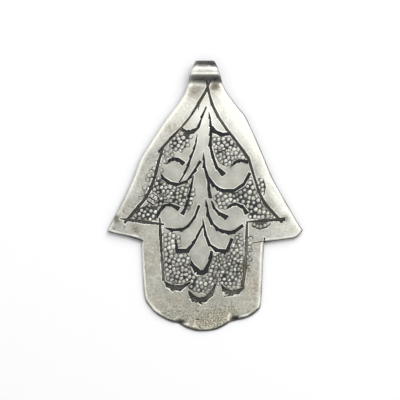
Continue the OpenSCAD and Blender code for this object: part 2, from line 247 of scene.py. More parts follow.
# Chiselled leaves, stem, rims and scratches, with the same columns
LEAVES = [
    # leaves under the crest
    (206.2, 107, 201.9, 117.2, 198.5, 127.5, 1.8, 1.8, 2.2),
    (198.7, 127.4, 190.4, 132.6, 180.3, 129, 2.2, 4, 2.6),
    (211.5, 127, 219, 134.4, 230, 133.5, 3, 4.4, 2.5),
    (208.7, 112, 210.8, 128, 210.1, 147, 0.8, 2.4, 3),
    (210.3, 146.4, 211.9, 153, 213.5, 159, 2.2, 2.8, 3),
    (213.4, 158.4, 215.3, 164, 217.5, 169.5, 2.4, 3, 3.2),
    (218, 168.5, 221, 171.4, 224, 175, 3, 4, 5.4),
    (197.2, 134, 195.1, 146, 190.5, 158, 0.6, 1.7, 2.2),
    (190.5, 158, 186.6, 169.3, 179.5, 182, 2.4, 2.2, 0.8),
    (211, 163, 212.4, 164, 213.5, 165.5, 0.5, 0.8, 0.5),
    # leaves between the wings
    (165.8, 165.5, 173.5, 158.9, 184, 163.8, 0.8, 3.2, 4),
    (160.5, 173.5, 164.2, 179.4, 170, 183.2, 1, 3.6, 3.6),
    (170, 183.2, 178.6, 184.6, 187.5, 181, 3.6, 3, 2.2),
    (187, 181, 194, 171.7, 200.2, 161, 2, 2.6, 2),
    (203.3, 152, 203.9, 160, 204.3, 168, 0.8, 1.8, 2.6),
    (204.6, 166.8, 206.2, 173, 208, 179, 2, 2.5, 3),
    (208.2, 179, 208.7, 185, 209, 191, 2.2, 2.4, 2.6),
    (209, 190.2, 209.8, 194.4, 210.4, 198.3, 2.2, 2.9, 3.5),
    (208.4, 177.4, 210.9, 182.5, 214.5, 186.8, 2, 3, 4),
    (213.8, 185.2, 218.2, 189, 223.4, 190.8, 2.6, 3.4, 3.4),
    (223, 190.7, 228.5, 191.1, 234, 190.6, 3.2, 3.4, 3.2),
    (234, 190.6, 239.3, 187.8, 244, 184, 2.6, 2.9, 3),
    (243.8, 184, 247.1, 178.8, 249.8, 173, 2.4, 2.8, 3),
    (230, 168, 237.4, 161.1, 248, 162, 0.8, 3, 2.8),
    (193.2, 176, 191.2, 187, 188.5, 198, 1.5, 2.1, 2.2),
    (188.5, 198, 186, 206.4, 182.3, 214.5, 2.2, 2.5, 3.6),
    (157.5, 218, 159.4, 211, 164, 205.6, 1.5, 3.2, 3),
    (164, 205.6, 171.4, 204.8, 179.3, 208.7, 3, 2.6, 4),
    # leaves in the palm
    (163.5, 227.5, 173, 230, 183, 229.3, 0.8, 3.2, 3),
    (183, 229.2, 186.2, 227.6, 189, 225.3, 2.4, 2.5, 2.6),
    (188.8, 225.2, 192.4, 220.7, 195.5, 216, 2, 2.4, 2.6),
    (195.2, 216, 197.2, 210.8, 199.2, 205.3, 1.8, 2.2, 2.5),
    (205.5, 199, 207.2, 207.8, 208.3, 216.5, 1, 2.3, 2.8),
    (208.4, 215.6, 210.3, 220.4, 212.5, 224.8, 2.2, 3, 3.3),
    (212.2, 223.6, 217.4, 229.2, 224, 231.7, 2.4, 3.2, 3.4),
    (224, 231.7, 229.5, 232.8, 235, 231.5, 3.6, 4, 3.5),
    (234.6, 231.4, 238.8, 228, 243, 225.2, 2.6, 3, 3.2),
    (211.5, 201, 213, 205, 214.5, 209, 1.2, 2.4, 2.8),
    (214.2, 208, 217.3, 211.8, 220.4, 215.2, 2.2, 3, 3),
    (219, 213, 223, 215.8, 227, 218, 2.6, 4.2, 5.4),
    (226.5, 209.5, 230, 205.6, 235, 203.9, 1, 2.6, 2.6),
    (235, 203.9, 242, 206.3, 247.2, 213.7, 2.6, 3, 4),
    (202.8, 225.5, 199.8, 231.6, 196.5, 237.5, 1.6, 2, 2.4),
    (196.7, 237.4, 192.9, 243.8, 188, 250, 2.4, 3, 2.8),
    (188.8, 251, 182.4, 251.4, 176, 250.8, 3.8, 4.6, 4.6),
    (177, 251, 176.2, 244.6, 175.5, 238.5, 3.4, 2, 1),
    (202.3, 217, 203.9, 226.5, 206, 236, 0.8, 2, 2.4),
    (205.8, 235.4, 208, 241, 210, 246, 2.2, 2.8, 3),
    (209.6, 244.6, 217, 250.2, 226, 251.5, 2.4, 3.8, 4),
    (226.6, 251.4, 230.2, 245, 232, 238.5, 3, 2.8, 2.8),
    (211.5, 251.5, 209.8, 261.2, 206, 270.5, 3.2, 3.2, 3.6),
    (206.8, 271, 202, 272.9, 197, 272, 4.2, 4.8, 4.8),
    (190.3, 259, 192.9, 266, 197.5, 271, 0.8, 4, 5.8),
    # cuts that skidded between the pearls of the left wing
    (152.5, 192.5, 154.5, 194, 156.5, 196, 0.7, 1.2, 0.7),
    (149.3, 197.2, 152, 199.2, 154.8, 200.6, 1.2, 1.9, 1),
    (147, 201, 150.5, 203.4, 154, 205, 1.2, 2, 1.2),
    (145.6, 205.6, 147.6, 207, 149.8, 208.2, 1.2, 2, 1),
    # rims of the two patches that were punched past the border
    (251.5, 224.2, 255, 227.4, 260.5, 229, 0.5, 0.8, 0.9),
    (260.5, 229, 266, 227.4, 270.5, 223.2, 0.9, 0.8, 0.5),
    (262.8, 177.5, 265.3, 186.5, 263.6, 195.5, 0.4, 0.8, 0.4),
    # scratch across the crest of the roll
    (193.3, 72.4, 193.1, 70.4, 193.3, 68.2, 0.2, 0.3, 0.2),
    # overshoot of the saw at the right inner corner, and the line scribed towards it
    (264.7, 243, 264.5, 240, 264.3, 237.3, 1.2, 1.2, 0.9),
    (252, 243, 258, 241.8, 264, 241, 0.5, 0.7, 0.7),
]

# Stains and rubbed nicks on the face, and painted highlights: the broad patches high on the plate whose
# dullness is below 0. Columns: x, y, reach across, reach down, how dull, how brown
STAINS_AND_HIGHLIGHTS = [
    (194.5, 91.5, 8.5, 6.5, 0.95, 0.5), (215.5, 87, 5.4, 3.8, 1.8, 0.8), (174, 128, 8, 6, 0.25, 0.25),
    (203, 86, 5, 5, 0.3, 0.1), (189, 105, 7, 6, -0.3, 0.15), (214, 94, 4, 5, 0.3, 0.3),
    (228, 103, 9, 14, -0.5, 0), (238, 122, 9, 16, -0.5, 0), (248, 140, 7, 12, -0.3, 0),
    (116.6, 218.5, 2.1, 3.4, 1.6, 0.2), (286, 218, 3.6, 4.4, 1.0, 0.2), (135, 229, 5, 3.5, 0.3, 0.6),
    (225, 315, 13, 8, 0.06, 0.6), (178, 300, 16, 10, 0.05, 0.4), (205, 318, 20, 10, 0.06, 0.4),
    (250, 300, 9, 10, 0.0, 0.4), (232, 292, 10, 4, 0.1, 0.4), (205, 299, 12, 5, 0.1, 0.35),
    (229.4, 317.6, 1.5, 3, -3, 0), (187.4, 323.8, 1.7, 1.2, -2.2, 0), (251, 287, 10, 12, -0.2, 0.65),
    (154, 262, 8, 24, -0.1, 0.3), (178, 128, 14, 8, 0, 0.4), (196, 100, 6, 5, 0.1, 0.3),
    (160, 240, 6, 8, 0.1, 0.4), (246, 270, 5, 14, 0.1, 0.5), (209.5, 207, 1.2, 3, 0.1, 0.7),
    (196, 205, 2, 4, 0.1, 0.35), (291, 228, 8, 5, 0.16, 0.15), (268, 206, 6, 6, 0.5, 0.2),
    (256, 246, 6, 9, -0.12, 0.25), (262, 186, 3, 9, -0.1, 0.3), (261, 224, 9, 4, -0.1, 0.35),
    (268, 214, 9, 5, 0, 0.3), (193.4, 326.6, 2.2, 0.7, -1.2, 0), (258, 166, 4, 8, 0.28, 0.1),
    (176, 118, 8, 9, -0.14, 0), (151, 198, 5, 6, -0.1, 0.1), (153, 300, 9, 8, -0.16, 0.3),
    (224.2, 292.6, 1.5, 1.8, -1.4, 0), (231, 295.4, 7, 0.8, -1, 0), (203, 240, 10, 13, -0.09, 0),
    (228, 180, 13, 8, -0.08, 0), (286, 222, 9, 9, -0.18, 0.1), (204, 117, 12, 15, -0.52, 0),
    (207, 155, 13, 12, -0.18, 0), (236, 222, 11, 9, -0.17, 0), (219, 257, 9, 8, -0.17, 0),
    (168, 317, 9, 5, 0.14, 0.2),
]

# Gouged crescents over the three scallops, with the columns of the borders
GOUGES = [
    (164, 281, 168.2, 285.6, 173.5, 287.9, 1, 4.2, 5.5),
    (173.5, 287.9, 182, 287.2, 190, 282.5, 5.5, 4.6, 1.2),
    (188.5, 291, 192.4, 297, 198.5, 300.2, 1.5, 4.8, 5),
    (198.5, 300.2, 209.2, 296.6, 215.4, 283.5, 5, 4.6, 1.2),
    (221, 284.5, 225, 290.2, 231, 292.7, 1.2, 4.4, 4.8),
    (231, 292.7, 238.6, 291.4, 244, 287, 4.8, 4.2, 1.2),
    # the ends of single cuts that stand out of the crescents
    (168, 285, 170.6, 288.4, 173, 291.2, 1.5, 2, 1.6),
    (175, 288, 177.6, 289.6, 181, 290.2, 2, 2, 1.2),
    (189.5, 293, 191.2, 297.6, 193.2, 301.6, 2, 2.6, 2),
    (196, 298.5, 199, 301.6, 201.8, 304.2, 2, 2.6, 1.4),
    (203.5, 299.5, 205.4, 300.6, 207.2, 300.4, 2, 2, 1.2),
    (222.5, 287.5, 224.6, 291, 226.4, 294.2, 1.6, 2.2, 1.8),
    (224, 296.3, 228.5, 295.4, 233.4, 294.6, 0.6, 0.9, 1.6),
]

# Fields of punched pearls, each a list of corners: x, y
PEARL_FIELDS = [
    # left wing
    [(157, 174), (162, 180), (168, 184), (176, 187), (187, 185), (190, 182), (192, 184),
     (188, 196), (184, 206), (180, 208), (176, 204), (168, 202), (161, 206), (157, 207.5),
     (145.5, 207), (150, 192), (155, 180)],
    # right shoulder and right wing
    [(212, 136), (217, 137), (230, 137), (240, 149), (248, 159), (240, 159), (234, 161),
     (229, 166), (224, 167), (218, 162), (214, 152), (212, 143)],
    [(234.5, 193), (245, 186), (251, 177), (256, 190), (262, 201), (272, 212), (279, 218),
     (258, 219.5), (247, 219), (248, 214), (244, 207), (238, 202.5), (234, 202.5)],
    # palm
    [(163, 233), (174, 232), (177, 236), (181, 236), (181, 246), (179, 247), (176, 241),
     (174, 253), (188, 254), (190, 260), (192, 272), (197, 277), (206, 277), (212, 262),
     (213, 255), (219, 254), (227, 254), (232, 245), (234, 236), (243, 232), (244, 285),
     (238, 289), (226, 288), (220, 284), (213, 290), (207, 295), (202, 292.8), (196, 292),
     (189, 290), (186, 285), (176, 285), (166, 281), (164, 262)],
]

# Places where the punch was struck lightly: x, y, reach, and the force left in the middle
LIGHT_BLOWS = [(151, 200, 5, 0.45)]

# Places where the pearls are full and the ground took less black: x, y, reach, share left
PALE_GROUND = [
    (171, 246, 17, 0.45), (166, 262, 10, 0.6), (226, 200, 12, 0.6), (189, 200, 8, 0.75),
    (251, 188, 8, 0.65), (160, 206, 7, 0.85), (202, 288, 9, 0.85), (264, 209, 9, 0.65),
    (240, 206, 6, 0.7), (168, 276, 9, 0.7), (236, 248, 9, 0.8),
]

# Places where the black is rubbed out of the cuts, or lies thicker.
# Columns: x, y, reach across, reach down, and the share left, over 1 where it is thicker.
WORN_CUTS = [
    (181, 141, 9, 8, 1.28), (147, 214, 9, 6, 1.15), (246, 262, 4, 30, 0.66),
    (162.5, 268, 3, 16, 0.68), (232, 292, 13, 5, 0.72), (174, 288, 14, 5, 0.78),
    (192, 299, 9, 6, 0.85), (212, 295, 8, 10, 0.7), (183, 127, 12, 6, 0.8),
    (222, 122, 8, 10, 0.9), (140, 222, 18, 2.4, 0.85),
]

# Places where the burr isn't rubbed bright, with the same columns
DULL_LIPS = [(256, 190, 6, 15, 0.4)]

# Places where the punch was struck again between its first marks: x, y, reach, blows
SECOND_BLOWS = [(153, 199, 6, 9), (166, 193, 8, 8), (225, 262, 14, 14), (228, 153, 9, 4)]

# Tarnish along the tongue, with painted shade in the bend of the neck and over the top of the roll, and
# painted light and shade on the crest: millimetres from the neck's foot, how black, how dull
TONGUE_TARNISH_AND_SHADING = [
    (-0.9, 0.0, 0.0), (-0.55, 0.0, -0.2), (-0.3, 0.2, -0.2), (-0.1, 0.42, 0.0), (0.15, 0.6, 0.1),
    (0.45, 0.7, 0.1), (0.8, 0.72, 0.1), (1.6, 0.64, 0.1), (1.95, 0.5, 0.0), (2.15, 0.3, -0.1),
    (2.34, 0.06, -0.15), (2.5, 0.0, -0.15), (2.62, 0.0, -0.1), (2.7, 0.36, 0.0), (2.85, 0.36, 0.0),
    (2.95, 0.0, -0.05), (3.2, 0.0, 0.0), (3.32, 0.06, 0.1), (3.42, 0.24, 0.2), (3.52, 0.46, 0.3),
    (3.64, 0.61, 0.2), (3.8, 0.68, 0.2), (4.0, 0.7, 0.2), (4.5, 0.73, 0.2), (6.5, 0.86, 0.2),
]

# Small pits and dents: x, y, reach across, reach down, depth in millimetres, how black
PITS = [
    (218, 180, 1.1, 0.9, 0.04, 0.25), (216.5, 180.6, 0.6, 0.6, 0.03, 0.35),
    (171.5, 180, 1, 0.8, 0.04, 0.3), (169, 178.6, 0.6, 0.5, 0.03, 0.2),
    (123.7, 211, 0.9, 0.9, 0.03, 0.5), (132.5, 207.4, 0.7, 0.7, 0.03, 0.45),
    (114.2, 228.5, 1.1, 1, 0.04, 0.5), (124.3, 227, 1, 0.9, 0.04, 0.5),
    (135.6, 229, 1.6, 1.2, 0.03, 0.3), (136, 232, 1.1, 0.8, 0.04, 0.5),
    (197.5, 319.5, 2, 0.8, 0.06, 0.75), (198.5, 311, 0.8, 0.8, 0.05, 0.5),
    (188, 308, 0.6, 0.5, 0.03, 0.4), (209, 312, 0.6, 0.6, 0.03, 0.35),
    (152, 262, 0.5, 0.5, 0.03, 0.4), (150, 271, 0.6, 0.5, 0.03, 0.35),
    (156, 243, 0.5, 0.6, 0.03, 0.35), (254, 291, 0.6, 0.5, 0.03, 0.35),
    (245, 303, 0.7, 0.5, 0.03, 0.4), (235, 309, 0.5, 0.5, 0.03, 0.35),
    (265, 150, 0.5, 0.5, 0.03, 0.2), (161, 136, 0.6, 0.5, 0.02, 0.25),
    (235, 318.2, 6, 3.2, 0.2, 0.66), (180.8, 321.6, 6.6, 3.3, 0.17, 0.56),
    (248.2, 311.6, 0.9, 0.7, 0.03, 0.45), (207.4, 84.6, 3.2, 3.2, 0.0, 0.36),
    (214.6, 84.4, 4.4, 3.2, 0.0, 0.36), (141, 197.5, 1.2, 0.3, 0.02, 0.4),
    (135, 204.5, 0.9, 0.3, 0.02, 0.35),
]

# Patches of punched ground whose pearls are charted one by one below
PATCHES = [
    [(180, 131.5), (186, 133), (191, 134), (189.5, 140), (188.5, 147), (183, 149.5), (178, 152),
     (172, 149.5), (168.5, 146), (171, 140.5), (175, 136)],
    [(191.5, 187), (195, 188), (195, 192), (193.5, 199), (191, 206), (188, 212), (184.5, 213),
     (188, 203), (190.5, 194)],
    [(257, 178), (260, 177.5), (263.5, 179), (265, 184), (265, 190), (263.5, 196), (261.5, 194)],
    [(251.5, 222.5), (270.5, 222.2), (266, 226.8), (260.5, 229), (255, 227)],
    [(213, 199), (219, 191), (236, 192), (236, 202.5), (232, 203), (226.5, 210), (221, 209.5),
     (216, 204)],
    [(144.5, 206), (157.5, 206.5), (158, 214), (156.5, 220.8), (130, 219.8), (139, 208)],
]

# Single pearls, and those that strayed over the border lines.
# Columns: x, y, and how hard they were struck, over 1 where they stand brighter.
SINGLE_PEARLS = [
    # beside the middle stem, past the right border and under it
    (192.9, 189.9, 0.9), (193.1, 194.5, 0.9), (191, 198.7, 1), (190.5, 203.1, 1), (188.4, 207.7, 1),
    (186, 211, 0.8), (261, 180.5, 1), (262.2, 185.2, 1), (262.3, 189.9, 1), (262.6, 193.6, 0.8),
    (258, 183.3, 0.8), (258.9, 187.7, 0.8), (253.9, 225.1, 1), (257.1, 226.5, 1), (260.6, 226.8, 1),
    (264.7, 225.4, 1), (268.2, 223.8, 0.8),
    # right of the stem
    (220.8, 193.4, 1), (217.6, 196.4, 1), (214.9, 198, 0.6), (227.1, 193.2, 0.8), (225.3, 196.2, 1),
    (222.6, 199.4, 1), (218.6, 200, 0.7), (227.1, 201.4, 1), (219.6, 203.6, 1), (223.7, 203.6, 1),
    (220.9, 207.2, 1), (224.9, 207.6, 1), (229.2, 204.2, 0.8), (230.6, 199.6, 1), (233.9, 196.1, 1),
    (230, 195.2, 1), (234.2, 201.2, 1),
    # foot of the left wing
    (141.4, 210.4, 1), (139.4, 213.9, 1.1), (144.9, 211.8, 1.15), (148, 214.5, 1.2), (143.5, 215.9, 1.15),
    (151, 210.8, 1.15), (155.5, 211.8, 1.2), (153.3, 216.2, 1.2), (150.1, 219.3, 1.2), (135.4, 215.9, 0.8),
    (139.3, 218.6, 0.8), (145.4, 219.5, 0.8), (147.6, 208.4, 0.8), (133.4, 218.4, 0.7), (148.9, 206.6, 0.7),
    # left shoulder
    (181.6, 133.7, 1), (177.4, 135.5, 1), (173.9, 138.6, 1), (183.3, 137.9, 1), (178.6, 139.2, 0.9),
    (187.2, 140.9, 1), (190.5, 137.2, 0.9), (180.6, 142, 0.9), (174.9, 143.4, 1), (184, 143.6, 1),
    (187.7, 145.3, 1), (171.6, 146.4, 1), (178.4, 146, 1), (182, 147.6, 0.8), (175.8, 149.3, 1),
    (180.4, 150.6, 0.8), (170.6, 142.4, 0.8), (167.4, 149.6, 0.6), (167, 154.5, 0.6),
    (172, 155.2, 0.75), (163, 156.8, 0.6), (164.3, 161.4, 0.65), (168, 159.4, 0.65),
    (159.7, 165.5, 0.6), (161.1, 170.6, 0.5), (162.6, 151.6, 0.45), (171, 151.2, 0.5),
    # past the left border
    (155.9, 162.8, 0.55), (154.2, 168.7, 0.7), (151.4, 171.6, 0.6), (148.9, 175.6, 0.7),
    (153.2, 174.6, 0.6), (147.8, 180.2, 0.6), (151.5, 179.6, 0.5), (149.8, 184.6, 0.6),
    (144.5, 188.5, 0.75), (148, 189, 0.5), (143, 193.6, 0.55), (146, 193.2, 0.4), (141, 198.2, 0.5),
    # past the right side of the palm
    (250.5, 238.5, 0.6), (250, 243, 0.7), (249, 247.5, 0.65), (249.5, 254, 0.65),
    (249.5, 259.5, 0.7), (247.5, 263.5, 0.6), (247, 270, 0.6), (249.6, 249.8, 0.5),
]


class BlankSizes(bpy.types.PropertyGroup):
    """Sizes of the sawn blank and of the bail that is rolled from its tongue."""
    plate_h: FloatProperty(
        name="Plate height", description="From the middle scallop to the foot of the neck",
        default=0.0496, unit="LENGTH")
    plate_w: FloatProperty(
        name="Plate width", description="Across the tips of the wings",
        default=BOX_HIGH.x - BOX_LOW.x, unit="LENGTH")
    sheet_t: FloatProperty(
        name="Sheet thickness", description="Thickness of the silver sheet",
        default=ROLL_R - BORE_R, unit="LENGTH")
    neck_slope: FloatProperty(
        name="Neck slope", description="Slope at which the neck climbs to the roll",
        default=math.radians(40), unit="ROTATION")
    neck_hollow_r: FloatProperty(
        name="Neck hollow radius", description="Radius of the hollow at the foot of the neck",
        default=0.001, unit="LENGTH")
    seam_gap: FloatProperty(
        name="Seam gap", description="How far the roll stops short of a full turn",
        default=math.radians(35), unit="ROTATION")
    rim_w: FloatProperty(
        name="Rim width", description="Width of the filed edge",
        default=0.00042, unit="LENGTH")


class EngravingSizes(bpy.types.PropertyGroup):
    """Depths and sizes of the chiselled and punched work."""
    stroke_d: FloatProperty(
        name="Stroke depth", description="Depth of a full chisel stroke",
        default=0.00025, unit="LENGTH")
    gouge_d: FloatProperty(
        name="Gouge depth", description="Depth of the crescents over the scallops",
        default=0.0003, unit="LENGTH")
    lip_h: FloatProperty(
        name="Lip height", description="Height of the burr along a stroke",
        default=0.00003, unit="LENGTH")
    pearl_pitch: FloatProperty(
        name="Pearl pitch", description="Distance between neighbouring pearls",
        default=0.0009, unit="LENGTH")
    pearl_d: FloatProperty(
        name="Pearl depth", description="Depth of the ring that the cup punch leaves",
        default=0.00013, unit="LENGTH")
    face_cell: FloatProperty(
        name="Face cell", description="Cell of the mesh that carries the relief",
        default=0.00008, unit="LENGTH")
    triangles: IntProperty(
        name="Triangles", description="Triangles that the finished piece keeps",
        default=196000)


class SilverFinish(bpy.types.PropertyGroup):
    """Colours of the old silver."""
    clean: FloatVectorProperty(
        name="Clean silver", description="Rubbed bright metal",
        subtype="COLOR", size=3, default=(0.95, 0.94, 0.875), min=0, max=1)
    dull: FloatVectorProperty(
        name="Dull silver", description="Skin tarnish on the flat plate",
        subtype="COLOR", size=3, default=(0.2, 0.195, 0.168), min=0, max=1)
    sulphide: FloatVectorProperty(
        name="Sulphide", description="Black tarnish in the cuts",
        subtype="COLOR", size=3, default=(0.037, 0.037, 0.042), min=0, max=1)
    verdigris: FloatVectorProperty(
        name="Green tarnish", description="Greenish black in some of the cuts",
        subtype="COLOR", size=3, default=(0.04, 0.051, 0.045), min=0, max=1)
    umber: FloatVectorProperty(
        name="Brown cuts", description="Brown that lies over the black in places",
        subtype="COLOR", size=3, default=(0.1, 0.083, 0.068), min=0, max=1)
    brown: FloatVectorProperty(
        name="Brown tarnish", description="Brown stain beside the cuts",
        subtype="COLOR", size=3, default=(0.27, 0.20, 0.12), min=0, max=1)


class StageSettings(bpy.types.PropertyGroup):
    """Camera, lights and floor."""
    frame_w: FloatProperty(
        name="Picture width", description="Width of the floor that the picture shows",
        default=0.0797, unit="LENGTH")
    camera_h: FloatProperty(
        name="Camera height", description="Height of the camera over the floor",
        default=0.34, unit="LENGTH")
    floor_w: FloatProperty(
        name="Floor width", description="Width of the pale floor",
        default=3.0, unit="LENGTH")


def mm(length):
    """A length in metres, in the millimetres that the blank is modelled in."""
    return length * MM_PER_M


def deselect():
    """Leaves edit mode with nothing selected."""
    if bpy.context.object and bpy.context.object.mode != "OBJECT":
        bpy.ops.object.mode_set(mode="OBJECT")
    bpy.ops.object.select_all(action="DESELECT")


def pick(piece):
    """Makes one object the only one selected, and active."""
    deselect()
    piece.select_set(True)
    bpy.context.view_layer.objects.active = piece


def points_of(piece):
    """An object's vertices as an array of rows."""
    points = np.empty(len(piece.data.vertices) * 3, np.float32)
    piece.data.vertices.foreach_get("co", points)
    return points.reshape(-1, 3).astype(float)


def set_points(piece, points):
    """Writes an object's vertices back."""
    piece.data.vertices.foreach_set("co", np.asarray(points, np.float32).ravel())
    piece.data.update()


def soft_step(low, high, value):
    """0 below low, 1 above high, and smooth between."""
    t = np.clip((value - low) / (high - low), 0, 1)
    return t * t * (3 - 2 * t)


def through(a, b, c, t):
    """A curve through three values, with t from 0 to 1."""
    pull = 2 * b - (a + c) / 2
    return (1 - t) ** 2 * a + 2 * t * (1 - t) * pull + t * t * c


def smooth_run(a, b, c, d, t):
    """A point on the smooth run between b and c, with a and d on either side."""
    return 0.5 * (2 * b + (c - a) * t + (2 * a - 5 * b + 4 * c - d) * t ** 2
                  + (3 * b - a - 3 * c + d) * t ** 3)


def soft_noise(x, y, length, seed):
    """Smooth random values from -1 to 1 that change over the given length."""
    grid = np.random.default_rng(seed).uniform(-1, 1, (97, 97))
    u, v = x / length + 11.3, y / length + 7.7
    i, j = np.floor(u).astype(int), np.floor(v).astype(int)
    fu, fv = u - i, v - j
    fu, fv = fu * fu * (3 - 2 * fu), fv * fv * (3 - 2 * fv)
    i, j = i % 96, j % 96
    low = grid[j, i] * (1 - fu) + grid[j, i + 1] * fu
    high = grid[j + 1, i] * (1 - fu) + grid[j + 1, i + 1] * fu
    return low * (1 - fv) + high * fv


def waver(start, x, y, name):
    """A value that wavers over the sheet, by the rows charted under a name."""
    for much, length, seed in WAVERS[name]:
        start = start + much * soft_noise(x, y, length, seed)
    return start


def band(rise, fall, value):
    """1 between two soft changes, and 0 on either side of them."""
    return soft_step(*rise, value) * (1 - soft_step(*fall, value))


class Blank:
    """The sawn sheet laid out flat, in millimetres, and the way its tongue is rolled."""
    # Rows of points up the tongue, the turn at which its tail begins to be filed, how far
    # it stays off the neck, and the flats that the pliers left: their middles, how far
    # each reaches to a side, and how deep they are, as a share of a full flat.
    TONGUE_ROWS = 72
    TAIL_FROM = math.radians(285)
    TAIL_ROOM = math.radians(1.5)
    FLATS_AT = (math.radians(106), math.radians(78))
    FLAT_REACH = math.radians(14)
    FLAT_SHARE = 0.75

    def __init__(self, sizes):
        self.plate_h, self.plate_w = mm(sizes.plate_h), mm(sizes.plate_w)
        self.step = self.plate_w / CHART_TIP_TO_TIP
        self.half_t = mm(sizes.sheet_t) / 2
        self.slope = sizes.neck_slope
        self.rim_w = mm(sizes.rim_w)
        self.bore_r = mm(BORE_R)
        self.roll_r = self.bore_r + 2 * self.half_t
        self.roll_mid_r = self.bore_r + self.half_t
        self.hollow_mid_r = mm(sizes.neck_hollow_r) + self.half_t
        hollow_run = self.hollow_mid_r * math.tan(self.slope / 2)
        self.roll_y = self.plate_h + hollow_run + self.roll_mid_r / math.sin(self.slope)
        self.hollow_len = self.hollow_mid_r * self.slope
        self.climb_len = self.roll_mid_r / math.tan(self.slope) - hollow_run
        self.turn = 2 * math.pi - sizes.seam_gap
        self.tongue_len = self.hollow_len + self.climb_len + self.roll_mid_r * self.turn
        reach = math.hypot(self.roll_y, self.half_t)
        self.tilt = math.asin(self.roll_r / reach) - math.atan(self.half_t / self.roll_y)

    def across(self, x):
        """A chart step across, in millimetres from the middle."""
        return (np.asarray(x, float) - CHART_MID_X) * self.plate_w / CHART_TIP_TO_TIP

    def up(self, y):
        """A chart step down, in millimetres up from the foot."""
        return (CHART_FOOT_Y - np.asarray(y, float)) * self.plate_h / (CHART_FOOT_Y - CHART_NECK_Y)

    def place(self, x, y):
        """A place on the chart, as a point of the flat sheet."""
        return np.array([self.across(x), self.up(y)])

    def outline(self, pieces=6):
        """Points round the flat blank, plate and tongue, anticlockwise."""
        marks = [np.array(row, float) for row in OUTLINE]
        points = []
        for i in range(len(marks) - 1):
            before = marks[i] if marks[i][2] else marks[i - 1]
            after = marks[i + 1] if marks[i + 1][2] else marks[i + 2]
            for k in range(pieces):
                p = smooth_run(before, marks[i], marks[i + 1], after, k / pieces)
                points.append(self.place(p[0], p[1]))
        share, left, right = np.array(TONGUE).T
        rows = np.linspace(0, 1, self.TONGUE_ROWS)
        lefts = self.across(np.interp(rows, share, left))
        rights = self.across(np.interp(rows, share, right))
        ys = self.plate_h + rows * self.tongue_len
        points += [np.array([x, y]) for x, y in zip(rights, ys)]
        points += [np.array([x, y]) for x, y in zip(lefts[:0:-1], ys[:0:-1])]
        return np.array(points)

    def rolled(self, points):
        """Rolls the tongue of a flat sheet, whose z counts from its middle."""
        x, y, off = points.T
        run = y - self.plate_h
        out = np.array(points, float)
        s, c = math.sin(self.slope), math.cos(self.slope)
        turn = np.clip(run / self.hollow_mid_r, 0, self.slope)
        bent = (run > 0) & (run <= self.hollow_len)
        arm = self.hollow_mid_r - off
        out[bent, 1] = (self.plate_h + arm * np.sin(turn))[bent]
        out[bent, 2] = (self.hollow_mid_r - arm * np.cos(turn))[bent]
        climb = run - self.hollow_len
        straight = (climb > 0) & (climb <= self.climb_len)
        out[straight, 1] = (self.plate_h + self.hollow_mid_r * s + climb * c - off * s)[straight]
        out[straight, 2] = (self.hollow_mid_r * (1 - c) + climb * s + off * c)[straight]
        theta = (climb - self.climb_len) / self.roll_mid_r
        ring = theta > 0
        # the tail is filed off at a slant, so that it closes against the neck's back
        depth = np.clip((off + self.half_t) / (2 * self.half_t), 0, 1)
        meets = 2 * math.pi - np.arccos(self.bore_r / (self.bore_r + 2 * self.half_t * depth))
        meets -= self.TAIL_ROOM
        first = self.TAIL_FROM
        tail = np.clip((theta - first) / (self.turn - first), 0, 1)
        theta = np.where(theta > first, first + tail * (meets - first), theta)
        phi = math.pi / 2 + self.slope - theta
        radius = self.roll_mid_r + off - self.plier_flats(phi) * depth
        out[ring, 1] = (self.roll_y + radius * np.cos(phi))[ring]
        out[ring, 2] = (radius * np.sin(phi))[ring]
        return out

    def plier_flats(self, phi):
        """How far the two flats that the pliers left on the crest lie below the round."""
        drop = np.zeros_like(phi)
        reach = self.FLAT_REACH
        for middle in self.FLATS_AT:
            near = np.abs(phi - middle) < reach
            off = np.clip(phi - middle, -reach, reach)
            flat = self.roll_r * (1 - math.cos(reach) / np.cos(off))
            drop = np.where(near, np.maximum(drop, self.FLAT_SHARE * flat), drop)
        return drop

    def at_rest(self, points):
        """Lays the rolled pendant on its back in the row's frame, in metres."""
        s, c = math.sin(self.tilt), math.cos(self.tilt)
        x, y, z = points.T
        y, z = y * c - z * s, y * s + z * c + self.half_t * c
        middle = (self.roll_y * c + self.roll_r - self.half_t * s) / 2
        return np.array([x, y - middle, z]).T / MM_PER_M


